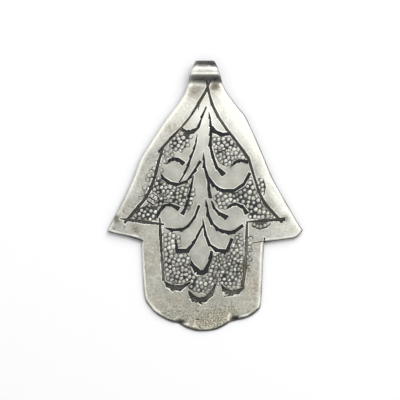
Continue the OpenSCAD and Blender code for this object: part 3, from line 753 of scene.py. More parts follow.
class Relief:
    """Height of the worked face over the flat blank, and the marks that its finish follows.

    All of it is held in rasters over the flat sheet. The edge and clear rasters are
    distances from the sawn edge and from the nearest stroke. Cut, border, pearls and
    ground are depths. Cups, domes and ghosts are the insides, crowns and faint rims of
    pearls. Lip is the burr, streak the chatter of the gouges and skin the way in which
    the tone strays from pearl to pearl.
    """
    # The raster, in millimetres: its cell, its spare border, the distance that stands for
    # far away, and how far the edge is measured
    CELL = 0.05
    MARGIN = 1.0
    FAR = 9.0
    EDGE_REACH = 5.0

    # The chisel: degrees that one blow can turn, and how far its ends stray, as a
    # share of its length. The rest is in millimetres: how far it starts behind the
    # last blow, the reach of its marks, the half width that leaves a full step, the
    # full and the least width of a cut, its wall, the burr and the pitch of the chatter.
    # The slants of a blow's two ends, and the floor's depth, its tilt and its drop
    # towards the end of a single blow and of a walked one, are shares.
    BLOW_TURN = 20
    BLOW_STRAY = 0.18
    BLOW_OVERLAP = 0.22
    BLOW_REACH = 1.0
    STEP_HALF_W = 0.25
    FULL_W = 0.5
    LEAST_HALF_W = 0.05
    WALL_W = 0.05
    WALL_SHARE = 0.1
    WALL_OUT = 0.03
    BURR_OUT = 0.1
    BURR_W = 0.08
    CHATTER_PITCH = 0.42
    START_SLANT = 0.5
    END_SLANT = 0.12
    FLOOR_SHARE = 0.8
    FLOOR_TILT = 0.18
    SINGLE_DROP = 0.15
    WALKED_DROP = 0.32

    # The cup punch: room kept to the strokes, how densely the pearls pack, how far
    # they stray, the reach of one blow, the groove and how it fades, how wide a light
    # blow's ring shows, and the force under which a blow is light. The ring's radius
    # is a share of the pitch, and the power says how flat a pearl's crown is. The ground
    # is the sunk metal between the pearls. The punch leans, and its mark is stretched and
    # swells where the pearls are full. The shine covers a pearl's crown: worn bright
    # metal, and partly a painted highlight.
    STROKE_ROOM = 0.14
    PACKING = 0.82
    PEARL_STRAY = 0.07
    PUNCH_REACH = 0.75
    RING_SHARE = 0.44
    GROOVE_W = 0.02
    GROOVE_FADE = 0.09
    GHOST_W = 0.085
    LIGHT_BLOW = 0.75
    DOME_POWER = 3.4
    CROWN_SHARE = 0.04
    LEAN = 0.13
    STRETCH = 0.07
    SWELL = 0.26
    MOST_FORCE = 1.3
    SHINE_W = (0.07, 0.27)
    GROUND_D = 0.1

    # How far a pit or dent reaches, and the rim: the width of the saw's slope all round
    # and what its low side adds, the depth of the filed round and of the saw's slope, how
    # round the filing is, and the place and width of the painted sheen inside the edge
    PIT_REACH = 1.2
    SAW_W = 0.2
    LOW_SAW_W = 0.36
    FILED_D = 0.14
    SAWN_D = 0.42
    ROUNDNESS = 1.25
    SHEEN_IN = 0.3
    SHEEN_W = 0.42

    # Depths between which a cut, a border line, a pearl's groove and the ground turn black
    CUT_BLACK = (0.05, 0.11)
    BORDER_BLACK = (0.03, 0.08)
    GROOVE_BLACK = (0.058, 0.108)
    GROUND_BLACK = (0.04, 0.09)

    # How pearls are spread: cells skipped, rounds, and cells compared at a time
    SKIP = 3
    ROUNDS = 18
    BLOCK = 4000

    def __init__(self, blank, engraving):
        self.blank, self.engraving = blank, engraving
        self.low = np.array([-blank.plate_w / 2 - self.MARGIN, -self.MARGIN])
        high = np.array([blank.plate_w / 2, blank.plate_h + blank.tongue_len]) + self.MARGIN
        count = np.ceil((high - self.low) / self.CELL).astype(int) + 1
        self.x, self.y = np.meshgrid(
            self.low[0] + self.CELL * np.arange(count[0]),
            self.low[1] + self.CELL * np.arange(count[1]))
        shape = self.x.shape
        for name in ("edge", "clear"):
            setattr(self, name, np.full(shape, self.FAR))
        for name in ("cut", "lip", "pearls", "domes", "skin", "ghosts"):
            setattr(self, name, np.zeros(shape))
        self.cups = np.zeros(shape, bool)
        self.streak = np.full(shape, -1.0)
        self.chart_x = self.x / blank.step + CHART_MID_X
        self.chart_y = CHART_FOOT_Y - self.y / blank.up(CHART_FOOT_Y - 1)

    def window(self, points, reach):
        """The part of the raster that lies within reach of some points."""
        points = np.asarray(points).reshape(-1, 2)
        first = np.floor((points.min(0) - reach - self.low) / self.CELL).astype(int)
        last = np.ceil((points.max(0) + reach - self.low) / self.CELL).astype(int) + 1
        first = np.maximum(first, 0)
        return np.s_[first[1]:max(last[1], 0), first[0]:max(last[0], 0)]

    def sample(self, field, x, y):
        """A field's values at points, from the four cells round each."""
        u = np.clip((x - self.low[0]) / self.CELL, 0, field.shape[1] - 1.001)
        v = np.clip((y - self.low[1]) / self.CELL, 0, field.shape[0] - 1.001)
        i, j = u.astype(int), v.astype(int)
        fu, fv = u - i, v - j
        low = field[j, i] * (1 - fu) + field[j, i + 1] * fu
        high = field[j + 1, i] * (1 - fu) + field[j + 1, i + 1] * fu
        return low * (1 - fv) + high * fv

    def spot(self, x, y, across, down):
        """How near each cell lies to a spot on the chart, from 0 to 1."""
        return np.exp(-((self.chart_x - x) / across) ** 2 - ((self.chart_y - y) / down) ** 2)

    def gap_from(self, x, y, chart_x, chart_y, reach):
        """Distance of points from a place on the chart, as a share of a reach on it."""
        middle = self.blank.place(chart_x, chart_y)
        return np.hypot(x - middle[0], y - middle[1]) / self.blank.step / reach

    def measure_edge(self, outline):
        """Distance of each cell from the sawn edge, where it is near, and less than 0 outside."""
        for a, b in zip(outline, np.roll(outline, -1, axis=0)):
            w = self.window([a, b], self.EDGE_REACH)
            along = b - a
            t = ((self.x[w] - a[0]) * along[0] + (self.y[w] - a[1]) * along[1]) / (along @ along)
            t = np.clip(t, 0, 1)
            gap = np.hypot(self.x[w] - a[0] - t * along[0], self.y[w] - a[1] - t * along[1])
            self.edge[w] = np.minimum(self.edge[w], gap)
        ax, ay = outline.T
        bx, by = np.roll(outline, -1, axis=0).T
        for row, y in enumerate(self.y[:, 0]):
            hit = (ay > y) != (by > y)
            crossings = ax[hit] + (y - ay[hit]) * (bx - ax)[hit] / (by - ay)[hit]
            outside = (crossings[None, :] > self.x[row][:, None]).sum(1) % 2 == 0
            self.edge[row, outside] *= -1

    def stroke(self, row, depth, seed, hatch=0.0, blow_len=1.9, tooth=0.13):
        """Cuts one stroke as a run of straight chisel blows, each a wedge with a blunt end."""
        rng = np.random.default_rng(seed)
        marks = [self.blank.place(row[i], row[i + 1]) for i in (0, 2, 4)]
        length = math.dist(marks[0], marks[1]) + math.dist(marks[1], marks[2])
        a, b = marks[1] - marks[0], marks[2] - marks[1]
        turn = abs(math.degrees(math.atan2(a[0] * b[1] - a[1] * b[0], a @ b)))
        blows = max(1, round(length / blow_len), math.ceil(turn / self.BLOW_TURN))
        shares = np.linspace(0, 1, blows + 1)
        shares[1:-1] += rng.uniform(-self.BLOW_STRAY, self.BLOW_STRAY, blows - 1) / blows
        line = np.array([through(*marks, t) for t in shares])
        halves = through(*row[6:9], shares) * self.blank.step / 2
        for k in range(blows):
            ends = (line[k], line[k + 1], halves[k], halves[k + 1])
            self.blow(*ends, depth, k, blows, rng, hatch, tooth)

    def blow(self, start, end, half_in, half_out, depth, number, blows, rng, hatch, tooth):
        """Drives the chisel once: smooth on its left, and a step on its right where it stops."""
        d = (end - start) / math.dist(start, end)
        back = self.BLOW_OVERLAP if number else 0.0
        start = start - d * back
        length = math.dist(start, end)
        w = self.window([start, end], self.BLOW_REACH)
        gx, gy = self.x[w], self.y[w]
        u = (gx - start[0]) * d[0] + (gy - start[1]) * d[1]
        v = (gy - start[1]) * d[0] - (gx - start[0]) * d[1]
        share = np.clip(u / length, 0, 1)
        half = half_in + (half_out - half_in) * share
        thickness = np.maximum(half, self.LEAST_HALF_W)
        # the outline: a step grows towards the end on the right, and both ends are slanted
        step = tooth * min(1, half_out / self.STEP_HALF_W) if blows > 1 else 0.0
        right = half - 0.8 * step + 2.0 * step * share ** 2
        side = np.where(v < 0, right, half - 0.3 * step * (1 - share))
        inside = np.minimum(side - np.abs(v), length + self.END_SLANT * v - u)
        begun = u + (self.WALL_OUT if number else 0.0)
        inside = np.minimum(inside, begun + self.START_SLANT * (half - np.abs(v)))
        # the section: a sloping wall, and a floor that deepens as the blow goes in
        full = 0.5 + 0.5 * np.clip(2 * half / self.FULL_W, 0, 1)
        wall = self.WALL_W + self.WALL_SHARE * half
        shape = soft_step(-self.WALL_OUT, 1, (inside + self.WALL_OUT) / wall)
        drop = self.WALKED_DROP if blows > 1 else self.SINGLE_DROP
        floor = self.FLOOR_SHARE - self.FLOOR_TILT * v / thickness + drop * share
        if hatch:
            phase = (gx * 0.8 + gy) * 2 * math.pi / self.CHATTER_PITCH
            comb = np.sin(waver(phase, gx, gy, "hatch"))
            shelf = 1.1 * soft_step(-0.1, 0.8, -v / thickness)
            floor = floor + hatch * comb
            self.streak[w] = np.where(inside > 0, comb + shelf, self.streak[w])
        self.cut[w] = np.maximum(self.cut[w], depth * full * shape * floor * rng.uniform(0.9, 1.1))
        burr = np.exp(-((inside + self.BURR_OUT) / self.BURR_W) ** 2) * full * rng.uniform(0.6, 1)
        if hatch:
            burr = burr * 2 * soft_step(0.05, -0.05, v)
        self.lip[w] = np.maximum(self.lip[w], burr)
        self.clear[w] = np.minimum(self.clear[w], -inside)

    def inside_field(self, corners):
        """Which cells lie inside a field of punched ground."""
        points = np.array([self.blank.place(*p) for p in corners])
        w = self.window(points, 0.2)
        gx, gy = self.x[w], self.y[w]
        hit = np.zeros(gx.shape, bool)
        for (ax, ay), (bx, by) in zip(points, np.roll(points, -1, axis=0)):
            crosses = (ay > gy) != (by > gy)
            hit ^= crosses & (gx < (bx - ax) * (gy - ay) / (by - ay + 1e-12) + ax)
        return w, hit

    def lay_fields(self, fields):
        """A raster that is true inside the fields."""
        field = np.zeros(self.x.shape, bool)
        for corners in fields:
            w, hit = self.inside_field(corners)
            field[w] |= hit
        return field

    def pearl_places(self, seed=5):
        """Spreads pearls evenly but not in ranks over the fields, clear of the strokes."""
        pitch = mm(self.engraving.pearl_pitch)
        self.field = self.lay_fields(PEARL_FIELDS) & (self.clear > self.STROKE_ROOM)
        every = np.s_[::self.SKIP, ::self.SKIP]
        thin = self.field[every]
        cells = np.array([self.x[every][thin], self.y[every][thin]]).T
        cell_area = (self.SKIP * self.CELL) ** 2
        room = 1 - 0.4 * self.pale(cells[:, 0], cells[:, 1])
        count = int(room.sum() * cell_area / (pitch * pitch * self.PACKING))
        rng = np.random.default_rng(seed)
        places = cells[rng.choice(len(cells), count, replace=False, p=room / room.sum())]
        share = room ** 2
        for _ in range(self.ROUNDS):
            owner = np.empty(len(cells), int)
            for first in range(0, len(cells), self.BLOCK):
                block = cells[first:first + self.BLOCK]
                gap = ((block[:, None, :] - places[None, :, :]) ** 2).sum(2)
                owner[first:first + self.BLOCK] = gap.argmin(1)
            number = np.maximum(np.bincount(owner, share, count), 0.01)[:, None]
            total = np.array([np.bincount(owner, cells[:, k] * share, count) for k in (0, 1)]).T
            filled = np.bincount(owner, minlength=count) > 0
            places[filled] = (total / number)[filled]
        return places + rng.normal(0, self.PEARL_STRAY, places.shape), self.second_places(rng)

    def second_places(self, rng):
        """Places where the punch was struck again between its first marks."""
        extra = []
        for x, y, reach, number in SECOND_BLOWS:
            middle = self.blank.place(x, y)
            for _ in range(number):
                extra.append(middle + rng.normal(0, 0.5, 2) * reach * self.blank.step)
        field = self.field.astype(float)
        return np.array([q for q in extra if self.sample(field, q[0], q[1]) > 0.5])

    def punch(self, places, strength, seed, sizes=(0.82, 1.1)):
        """Strikes a cup punch at each place: a dome in a ring-shaped groove."""
        rng = np.random.default_rng(seed)
        depth = mm(self.engraving.pearl_d)
        ring = self.RING_SHARE * mm(self.engraving.pearl_pitch)
        groove = ring + self.GROOVE_W
        outer = groove + self.GROOVE_FADE
        for place in places:
            w = self.window([place], self.PUNCH_REACH)
            pale = float(self.pale(*place))
            size = rng.uniform(*sizes) * (1 + self.SWELL * pale)
            soft = strength * float(self.force(*place))
            force = rng.uniform(0.8, 1.1) * soft
            lean = rng.normal(0, self.LEAN + 0.5 * (1 - soft), 2)
            dx, dy = self.x[w] - place[0], self.y[w] - place[1]
            stretch = rng.normal(1, self.STRETCH)
            r = np.hypot(dx * stretch, dy / stretch) / size
            slope = np.clip(r / ring, 0, 1) ** self.DOME_POWER
            dome = self.CROWN_SHARE + (1 - self.CROWN_SHARE) * slope
            mark = np.where(r < ring, dome, 1 - soft_step(groove, outer, r))
            tilted = force * (1 + lean[0] * dx / ring + lean[1] * dy / ring)
            mark = mark * depth * np.clip(tilted, 0, self.MOST_FORCE) * (r < outer)
            fresh = mark > self.pearls[w]
            self.domes[w] = np.where(fresh & (r > 0.8 * ring), 0, self.domes[w])
            self.pearls[w] = np.maximum(self.pearls[w], mark)
            self.cups[w] |= (r < ring) & (soft > 0.5)
            if soft < self.LIGHT_BLOW:
                # a light blow leaves a faint ring, darker on the side it leaned to
                side = np.clip(0.7 + 0.6 * (lean[0] * dx + lean[1] * dy) / ring, 0.2, 1)
                faint = np.exp(-((r - ring) / self.GHOST_W) ** 2) * side * rng.uniform(0.85, 1)
                self.ghosts[w] = np.maximum(self.ghosts[w], faint)
            shade = rng.uniform(-0.12, 0.36) - 0.45 * pale + (0.4 if rng.random() < 0.12 else 0)
            shade = shade - 2 * max(0.0, soft - 1) if soft > 0.6 else 0.1
            self.skin[w] = np.where(r < ring, shade * min(1, soft + 0.2), self.skin[w])
            top = (1 - soft_step(*self.SHINE_W, r)) * rng.uniform(0.25, 1) * (soft > 0.6)
            self.domes[w] = np.maximum(self.domes[w], top)

    def force(self, x, y):
        """How hard the punch was struck at a place, from 0 to 1."""
        weakest = np.ones(np.shape(x))
        for cx, cy, reach, least in LIGHT_BLOWS:
            gap = self.gap_from(x, y, cx, cy, reach)
            weakest = np.minimum(weakest, least + (1 - least) * np.minimum(gap, 1) ** 2)
        return weakest

    def pale(self, x, y):
        """How full the pearls stand at a place and how pale their ground is, from 0 to 1."""
        most = np.zeros(np.shape(x))
        for cx, cy, reach, left in PALE_GROUND:
            most = np.maximum(most, (1 - left) * np.exp(-self.gap_from(x, y, cx, cy, reach) ** 2))
        return most

    def work(self):
        """Does all the work on the face, in the order of the real one."""
        blank, engraving = self.blank, self.engraving
        self.measure_edge(blank.outline())
        for seed, row in enumerate(BORDERS, 200):
            self.stroke(row, mm(engraving.stroke_d), seed, blow_len=3.4, tooth=0.05)
        self.border = self.cut.copy()
        for seed, row in enumerate(LEAVES, 100):
            self.stroke(row, mm(engraving.stroke_d), seed)
        for seed, row in enumerate(GOUGES, 300):
            self.stroke(row, mm(engraving.gouge_d), seed, hatch=0.14)
        places, extra = self.pearl_places()
        self.punch(places, 1.0, 9)
        self.punch(extra, 0.8, 11)
        self.field |= self.lay_fields(PATCHES)
        for seed, (cx, cy, strength) in enumerate(SINGLE_PEARLS, 400):
            sizes = (0.88, 1.04) if strength > self.LIGHT_BLOW else (1.0, 1.15)
            self.punch([blank.place(cx, cy)], strength, seed, sizes)
        self.ground = self.GROUND_D * soft_step(0.44, 0.82, self.blurred(self.field.astype(float), 4))
        self.ground = self.ground * np.where(self.cups, 0.15, 1)
        self.ground = self.ground * soft_step(0.3, 0.85, self.force(self.x, self.y))
        self.lay_zones()
        self.assemble()
        self.blacken()
        self.rub_and_highlight()
        self.dull()

    def blurred(self, field, reach):
        """A field averaged over squares of 2 * reach + 1 cells, twice over."""
        out = field
        size = 2 * reach + 1
        for axis in (0, 1, 0, 1):
            pad = [(reach + 1, reach) if k == axis else (0, 0) for k in (0, 1)]
            total = np.cumsum(np.pad(out, pad, mode="edge"), axis=axis)
            upper = np.take(total, range(size, total.shape[axis]), axis=axis)
            lower = np.take(total, range(0, total.shape[axis] - size), axis=axis)
            out = (upper - lower) / size
        return out

    def lay_zones(self):
        """Works out which part of the plate each cell lies on, as shares from 0 to 1."""
        chart_x, chart_y = self.chart_x, self.chart_y
        self.low_side = np.clip(np.gradient(self.edge, self.CELL, axis=0), 0, 1)
        self.right = soft_step(*RIGHT_HALF, chart_x)
        self.left = 1 - self.right
        self.upper_right = self.right * (1 - soft_step(*WING_TIPS, chart_y))
        self.palm_side = band(PALM_TOP, PALM_FOOT, chart_y)
        self.low_palm = soft_step(*LOW_PALM, chart_y)
        self.wings = 1 - soft_step(*BELOW_WINGS, chart_y)
        self.run = self.y - self.blank.plate_h

    def assemble(self):
        """Adds the work up into one height over the middle of the sheet."""
        x, y, blank = self.x, self.y, self.blank
        uneven = waver(0, x, y, "face")
        # the saw's slope and the filed rim within it
        thick = soft_step(*LEFT_WING_FOOT, self.chart_x) * self.left
        less = (0.12 + 0.08 * self.right - 0.24 * thick) * self.wings
        saw = self.SAW_W + (self.LOW_SAW_W - less) * self.low_side
        saw = saw + 0.1 * self.upper_right + 0.1 * self.palm_side * self.right
        saw = saw * waver(1, x, y, "saw")
        width = 1 + 0.4 * self.low_side - 0.3 * self.palm_side * self.left
        width = blank.rim_w * waver(width, x, y, "rim")
        self.sawn = 1 - soft_step(0.45, 1.05, self.edge / saw)
        self.rim = np.clip(1 - (self.edge - 0.6 * saw) / width, 0, 1)
        rim = self.FILED_D * self.rim ** self.ROUNDNESS
        rim = rim + self.SAWN_D * np.clip(1 - self.edge / saw, 0, 1)
        down = np.maximum(np.maximum(self.cut, self.pearls), self.ground)
        self.pitted = np.zeros(x.shape)
        for cx, cy, rx, ry, deep, dark in PITS:
            middle = blank.place(cx, cy)
            w = self.window([middle], self.PIT_REACH)
            gap = ((x[w] - middle[0]) / rx) ** 2 + ((y[w] - middle[1]) / ry) ** 2
            near = np.exp(-gap / blank.step ** 2 * waver(1, x[w], y[w], "pits"))
            down[w] += deep * near
            self.pitted[w] = np.maximum(self.pitted[w], min(1, 1.5 * dark) * near)
        self.lip = self.lip * (1 - soft_step(0.01, 0.05, down)) * (self.ground < 0.005)
        lip = mm(self.engraving.lip_h) * self.lip
        self.height = blank.half_t + uneven - rim - down + lip

    def along_tongue(self):
        """How far each cell lies up the tongue, with the creases a little astray."""
        return waver(self.run, self.x, self.y, "tongue")

    def blacken(self):
        """Lays black tarnish in the cuts and round the pearls, tarnish with painted shade on the edge and on
        the roll, and a dark line just inside the left edge of the palm.
        """
        x, y, run = self.x, self.y, self.run
        cut = soft_step(*self.CUT_BLACK, self.cut)
        cut = cut * (1 - 0.34 * soft_step(0.1, 1.2, self.streak))
        self.older = soft_step(*self.BORDER_BLACK, self.border)
        cut = cut * (1 - 0.2 * self.older)
        grooves = soft_step(*self.GROOVE_BLACK, self.pearls)
        between = soft_step(*self.GROUND_BLACK, self.ground)
        strength = waver(0.77, x, y, "black") * (1 - 0.18 * self.pale(x, y))
        cut = np.maximum(cut, strength * np.maximum(grooves, between))
        for cx, cy, rx, ry, left in WORN_CUTS:
            cut = cut * (1 - (1 - left) * self.spot(cx, cy, rx, ry))
        # the edge: tarnish with painted shade, blackest along its low side and on the tongue, but for the
        # crest
        side = 0.55 + 0.16 * self.upper_right
        side = side + self.palm_side * (0.12 * self.right - self.left * (0.5 - 0.3 * self.low_palm))
        crest = band(CREST_FROM, CREST_TO, run)
        tongue = 0.94 - (0.5 - 0.2 * self.right) * crest
        edge = np.maximum(side * (1 - self.low_side) + 0.82 * self.low_side,
                          tongue * soft_step(*NECK_EDGE, run)) * self.sawn
        inner_line = (self.edge - 0.64 + 0.08 * self.low_palm) / (0.14 - 0.06 * self.low_palm)
        inner_line = 0.3 * self.palm_side * np.exp(-(inner_line ** 2)) * self.left
        # the roll: tarnish, with painted shade in the bend of the neck and over the top of the roll, darker
        # towards its right side
        millimetres, black, _ = np.array(TONGUE_TARNISH_AND_SHADING).T
        bail = np.interp(self.along_tongue(), millimetres, black)
        bail = bail * (waver(1, x, y, "bail") + 0.04 * x * soft_step(0, 1, run))
        layers = [cut, 0.8 * edge, bail, self.pitted, self.ghosts, inner_line]
        self.oxide_and_shade = np.clip(np.max(layers, axis=0), 0, 1)

    def rub_and_highlight(self):
        """Rubs the crowns, burrs and filed rims bright, and paints highlights: a sheen inside the upper
        edge, a band along the right side, the right edge of the palm and the glint of the bevel.
        """
        x, y, chart_y = self.x, self.y, self.chart_y
        lip = self.lip * soft_step(-0.6, 0.4, waver(0, x, y, "lip"))
        for cx, cy, rx, ry, left in DULL_LIPS:
            lip = lip * (1 - (1 - left) * self.spot(cx, cy, rx, ry))
        # crowns and burrs rubbed bright; the crowns' brightness is partly a painted highlight
        rubbed = np.maximum(0.5 * self.domes, 0.9 * lip)
        filed = self.rim * (1 - self.sawn) * soft_step(0, 0.35, self.rim)
        filed = filed * waver(0.75, x, y, "filing")
        filed = filed * (1 + 0.6 * self.palm_side) * (1 - 0.65 * soft_step(*FOOT_EDGE, chart_y))
        upper = 1 - soft_step(*UPPER_PLATE, chart_y)
        # painted sheen: the upper plate painted lighter in a soft band just inside its edge
        edge_sheen = 0.7 * upper * np.exp(-((self.edge - self.SHEEN_IN) / self.SHEEN_W) ** 2)
        # painted highlight: a bright band along the right side of the shoulder and wing, narrower lower down
        reach = 2.5 - 1.1 * soft_step(*LOW_SHOULDER, chart_y)
        right_side_sheen = 0.45 * self.upper_right * soft_step(0, 1.3, reach - self.edge)
        right_side_sheen = right_side_sheen * waver(0.85, x, y, "right side sheen")
        # painted highlight along the right edge of the palm
        right_palm_sheen = 0.6 * self.right * self.palm_side * soft_step(0.9, 0.4, self.edge)
        layers = [rubbed, filed, edge_sheen, right_side_sheen, right_palm_sheen, 1.1 * self.bevel_glint()]
        self.wear_and_sheen = np.clip(np.max(layers, axis=0), 0, 1)

    def bevel_glint(self):
        """Painted highlight: a narrow bright band, like a facet catching the light, inside the edge of the
        palm and wings.
        """
        chart_x, chart_y = self.chart_x, self.chart_y
        left_palm = self.palm_side * self.left * (1 - self.low_palm) * (1 - self.low_side)
        glint = band(GLINT_FROM, GLINT_TO, chart_x)
        inwards = 0.3 + (0.32 - 0.14 * self.wings) * self.low_side
        inwards = inwards - 0.2 * left_palm + 0.14 * glint * self.wings
        width = 0.13 - 0.03 * self.wings + 0.06 * glint
        facet = np.exp(-((self.edge - inwards) / width) ** 2)
        on_wing = np.where(chart_x < RIGHT_HALF[0], 0.45 + 0.55 * glint,
                           0.5 * soft_step(*RIGHT_TIP, chart_x))
        on_wing = on_wing * self.low_side * soft_step(*WING_HEM, chart_y)
        below = np.maximum(soft_step(*PALM_TOP, chart_y), on_wing * self.wings)
        return facet * below * (1 - soft_step(*BEVEL_END, chart_y - 4 * self.right))

    def dull(self):
        """Dulls the skin of the flat metal, with its stains and the sandy foot, and paints highlights:
        lighter at the top of the plate, on the right wing and right shoulder, and in broad patches high on
        the plate.
        """
        x, y = self.x, self.y
        chart_x, chart_y = self.chart_x, self.chart_y
        tone = 0.08
        # painted highlight: the face painted lighter at the top, duller down the plate
        for first, last, more in SHEEN_FADING_DOWN:
            tone = tone + more * soft_step(first, last, chart_y)
        # painted highlights on the right wing and the right shoulder
        wing_highlight = soft_step(*RIGHT_WING, chart_x) * (1 - soft_step(*WING_ROOT, chart_y))
        shoulder_highlight = self.right * (1 - soft_step(*UPPER_SHOULDER, chart_y))
        tone = tone - 0.46 * wing_highlight - 0.16 * shoulder_highlight
        tone = tone + 0.08 * (1 - soft_step(0.15, 0.6, self.clear))
        self.brown = np.zeros(x.shape)
        # stains and nicks; rows with dullness below 0 lighten, and the broad ones high on the plate are
        # painted highlight
        for cx, cy, rx, ry, dull, rust in STAINS_AND_HIGHLIGHTS:
            near = self.spot(cx, cy, rx, ry)
            tone = tone + dull * near
            self.brown = np.maximum(self.brown, rust * near)
        self.brown = np.maximum(self.brown, 0.3 * self.older)
        tone = waver(tone, x, y, "tone")
        # the tongue's dullness: painted shade that dims the crest's upper flat, and painted highlight where
        # it is below 0
        millimetres, _, dull = np.array(TONGUE_TARNISH_AND_SHADING).T
        tone = 0.27 + 0.61 * (tone + self.skin) + np.interp(self.along_tongue(), millimetres, dull)
        self.tone = np.clip(tone, -0.1, 1.4)
        middle = np.exp(-((chart_x - FOOT_MIDDLE_X) / FOOT_REACH) ** 2)
        foot = soft_step(*SANDY_FOOT, chart_y) * (0.7 + 0.3 * middle)
        foot = foot * waver(0.85, x, y, "foot")
        self.patina = np.maximum(1 - 0.65 * soft_step(2.6, 4.4, self.edge), 2.0 * foot)


def relief_block(name, low, high, cell, height, far):
    """A block over a rectangle, with a worked face at height(x, y) and a flat one at far."""
    deselect()
    count = [int(round((h - l) / cell)) for l, h in zip(low, high)]
    bpy.ops.mesh.primitive_grid_add(x_subdivisions=count[0], y_subdivisions=count[1], size=1)
    block = bpy.context.object
    block.name = name
    points = points_of(block)
    for axis in (0, 1):
        points[:, axis] = low[axis] + (points[:, axis] + 0.5) * (high[axis] - low[axis])
    points[:, 2] = height(points[:, 0], points[:, 1])
    set_points(block, points)
    before = len(points)
    bpy.ops.object.mode_set(mode="EDIT")
    bpy.ops.mesh.select_mode(type="EDGE")
    bpy.ops.mesh.select_all(action="DESELECT")
    bpy.ops.mesh.select_non_manifold()
    bpy.ops.mesh.extrude_edges_move(TRANSFORM_OT_translate={"value": (0, 0, far)})
    bpy.ops.mesh.edge_face_add()
    bpy.ops.object.mode_set(mode="OBJECT")
    points = points_of(block)
    points[before:, 2] = far
    set_points(block, points)
    face_outwards(block)
    return block


def face_outwards(piece):
    """Points all of a closed shape's faces outwards."""
    pick(piece)
    bpy.ops.object.mode_set(mode="EDIT")
    bpy.ops.mesh.select_all(action="SELECT")
    bpy.ops.mesh.normals_make_consistent(inside=False)
    bpy.ops.object.mode_set(mode="OBJECT")


def sawn_blank(name, outline, low, high):
    """A prism of the sawn outline, between two heights."""
    deselect()
    bpy.ops.mesh.primitive_circle_add(vertices=len(outline), radius=1, fill_type="NGON")
    blank = bpy.context.object
    blank.name = name
    set_points(blank, np.column_stack([outline, np.full(len(outline), low)]))
    bpy.ops.object.mode_set(mode="EDIT")
    bpy.ops.mesh.select_all(action="SELECT")
    bpy.ops.mesh.extrude_region_move(TRANSFORM_OT_translate={"value": (0, 0, high - low)})
    bpy.ops.object.mode_set(mode="OBJECT")
    face_outwards(blank)
    return blank


def keep_common(piece, other):
    """Keeps what two closed shapes share, in the first."""
    pick(piece)
    cut = piece.modifiers.new("common", "BOOLEAN")
    cut.operation = "INTERSECT"
    cut.solver = "MANIFOLD"
    cut.object = other
    bpy.ops.object.modifier_apply(modifier=cut.name)
    mesh = other.data
    bpy.data.objects.remove(other)
    bpy.data.meshes.remove(mesh)


def thin_out(piece, triangles):
    """Collapses the flattest places until the piece has so many triangles."""
    pick(piece)
    bpy.ops.object.modifier_add(type="TRIANGULATE")
    bpy.ops.object.modifier_apply(modifier=piece.modifiers[-1].name)
    now = len(piece.data.polygons)
    if now > triangles:
        fewer = piece.modifiers.new("fewer", "DECIMATE")
        fewer.ratio = triangles / now
        bpy.ops.object.modifier_apply(modifier=fewer.name)


def mark(piece, name, values):
    """Stores one value for each vertex, for the finish to read."""
    layer = piece.data.attributes.new(name, "FLOAT", "POINT")
    layer.data.foreach_set("value", np.asarray(values, np.float32))


def back_height(relief, x, y):
    """Height of the plain back: a little uneven on the plate, and filed round at the rim."""
    blank = relief.blank
    rim = np.clip(1 - relief.sample(relief.edge, x, y) / BACK_RIM_W, 0, 1)
    uneven = waver(0, x, y, "back")
    return -blank.half_t - uneven * (y < blank.plate_h) + BACK_RIM_D * rim ** 2


class PENDANT_OT_hamsa(bpy.types.Operator):
    """Models the silver plate with its rolled bail"""
    bl_idname = "pendant.hamsa"
    bl_label = "Model the pendant"

    def execute(self, context):
        """Works the flat sheet, rolls its tongue and finishes the metal."""
        blank = Blank(context.scene.pendant_blank)
        engraving = context.scene.pendant_engraving
        relief = Relief(blank, engraving)
        relief.work()
        piece = self.flat_sheet(blank, relief, mm(engraving.face_cell))
        points = points_of(piece)
        x, y, height = points.T
        mark(piece, "front", soft_step(*FRONT_FROM, height))
        for name in MARKS:
            mark(piece, name, relief.sample(getattr(relief, name), x, y))
        set_points(piece, blank.at_rest(blank.rolled(points)))
        piece.data.transform(Matrix.Scale(MM_PER_M, 4))
        thin_out(piece, engraving.triangles)
        piece.data.transform(Matrix.Scale(1 / MM_PER_M, 4))
        pick(piece)
        bpy.ops.object.shade_smooth_by_angle(angle=SMOOTH_UP_TO)
        piece.data.materials.clear()
        piece.data.materials.append(old_silver(context.scene.pendant_finish))
        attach(piece, BODY)
        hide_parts(NODE)
        return {"FINISHED"}

    def flat_sheet(self, blank, relief, face_cell):
        """The worked sheet, still flat: a prism of the outline between two uneven faces."""
        low = (-blank.plate_w / 2 - SPARE, -SPARE)
        high = (blank.plate_w / 2 + SPARE, blank.plate_h + blank.tongue_len + SPARE)
        piece = sawn_blank(PIECE, blank.outline(), -PRISM_UP_TO, PRISM_UP_TO)
        face = relief_block(
            "worked_face", low, high, face_cell,
            lambda x, y: relief.sample(relief.height, x, y), -BLOCK_UP_TO)
        keep_common(piece, face)
        back = relief_block(
            "plain_back", low, high, BACK_CELL,
            lambda x, y: back_height(relief, x, y), BLOCK_UP_TO)
        keep_common(piece, back)
        return piece


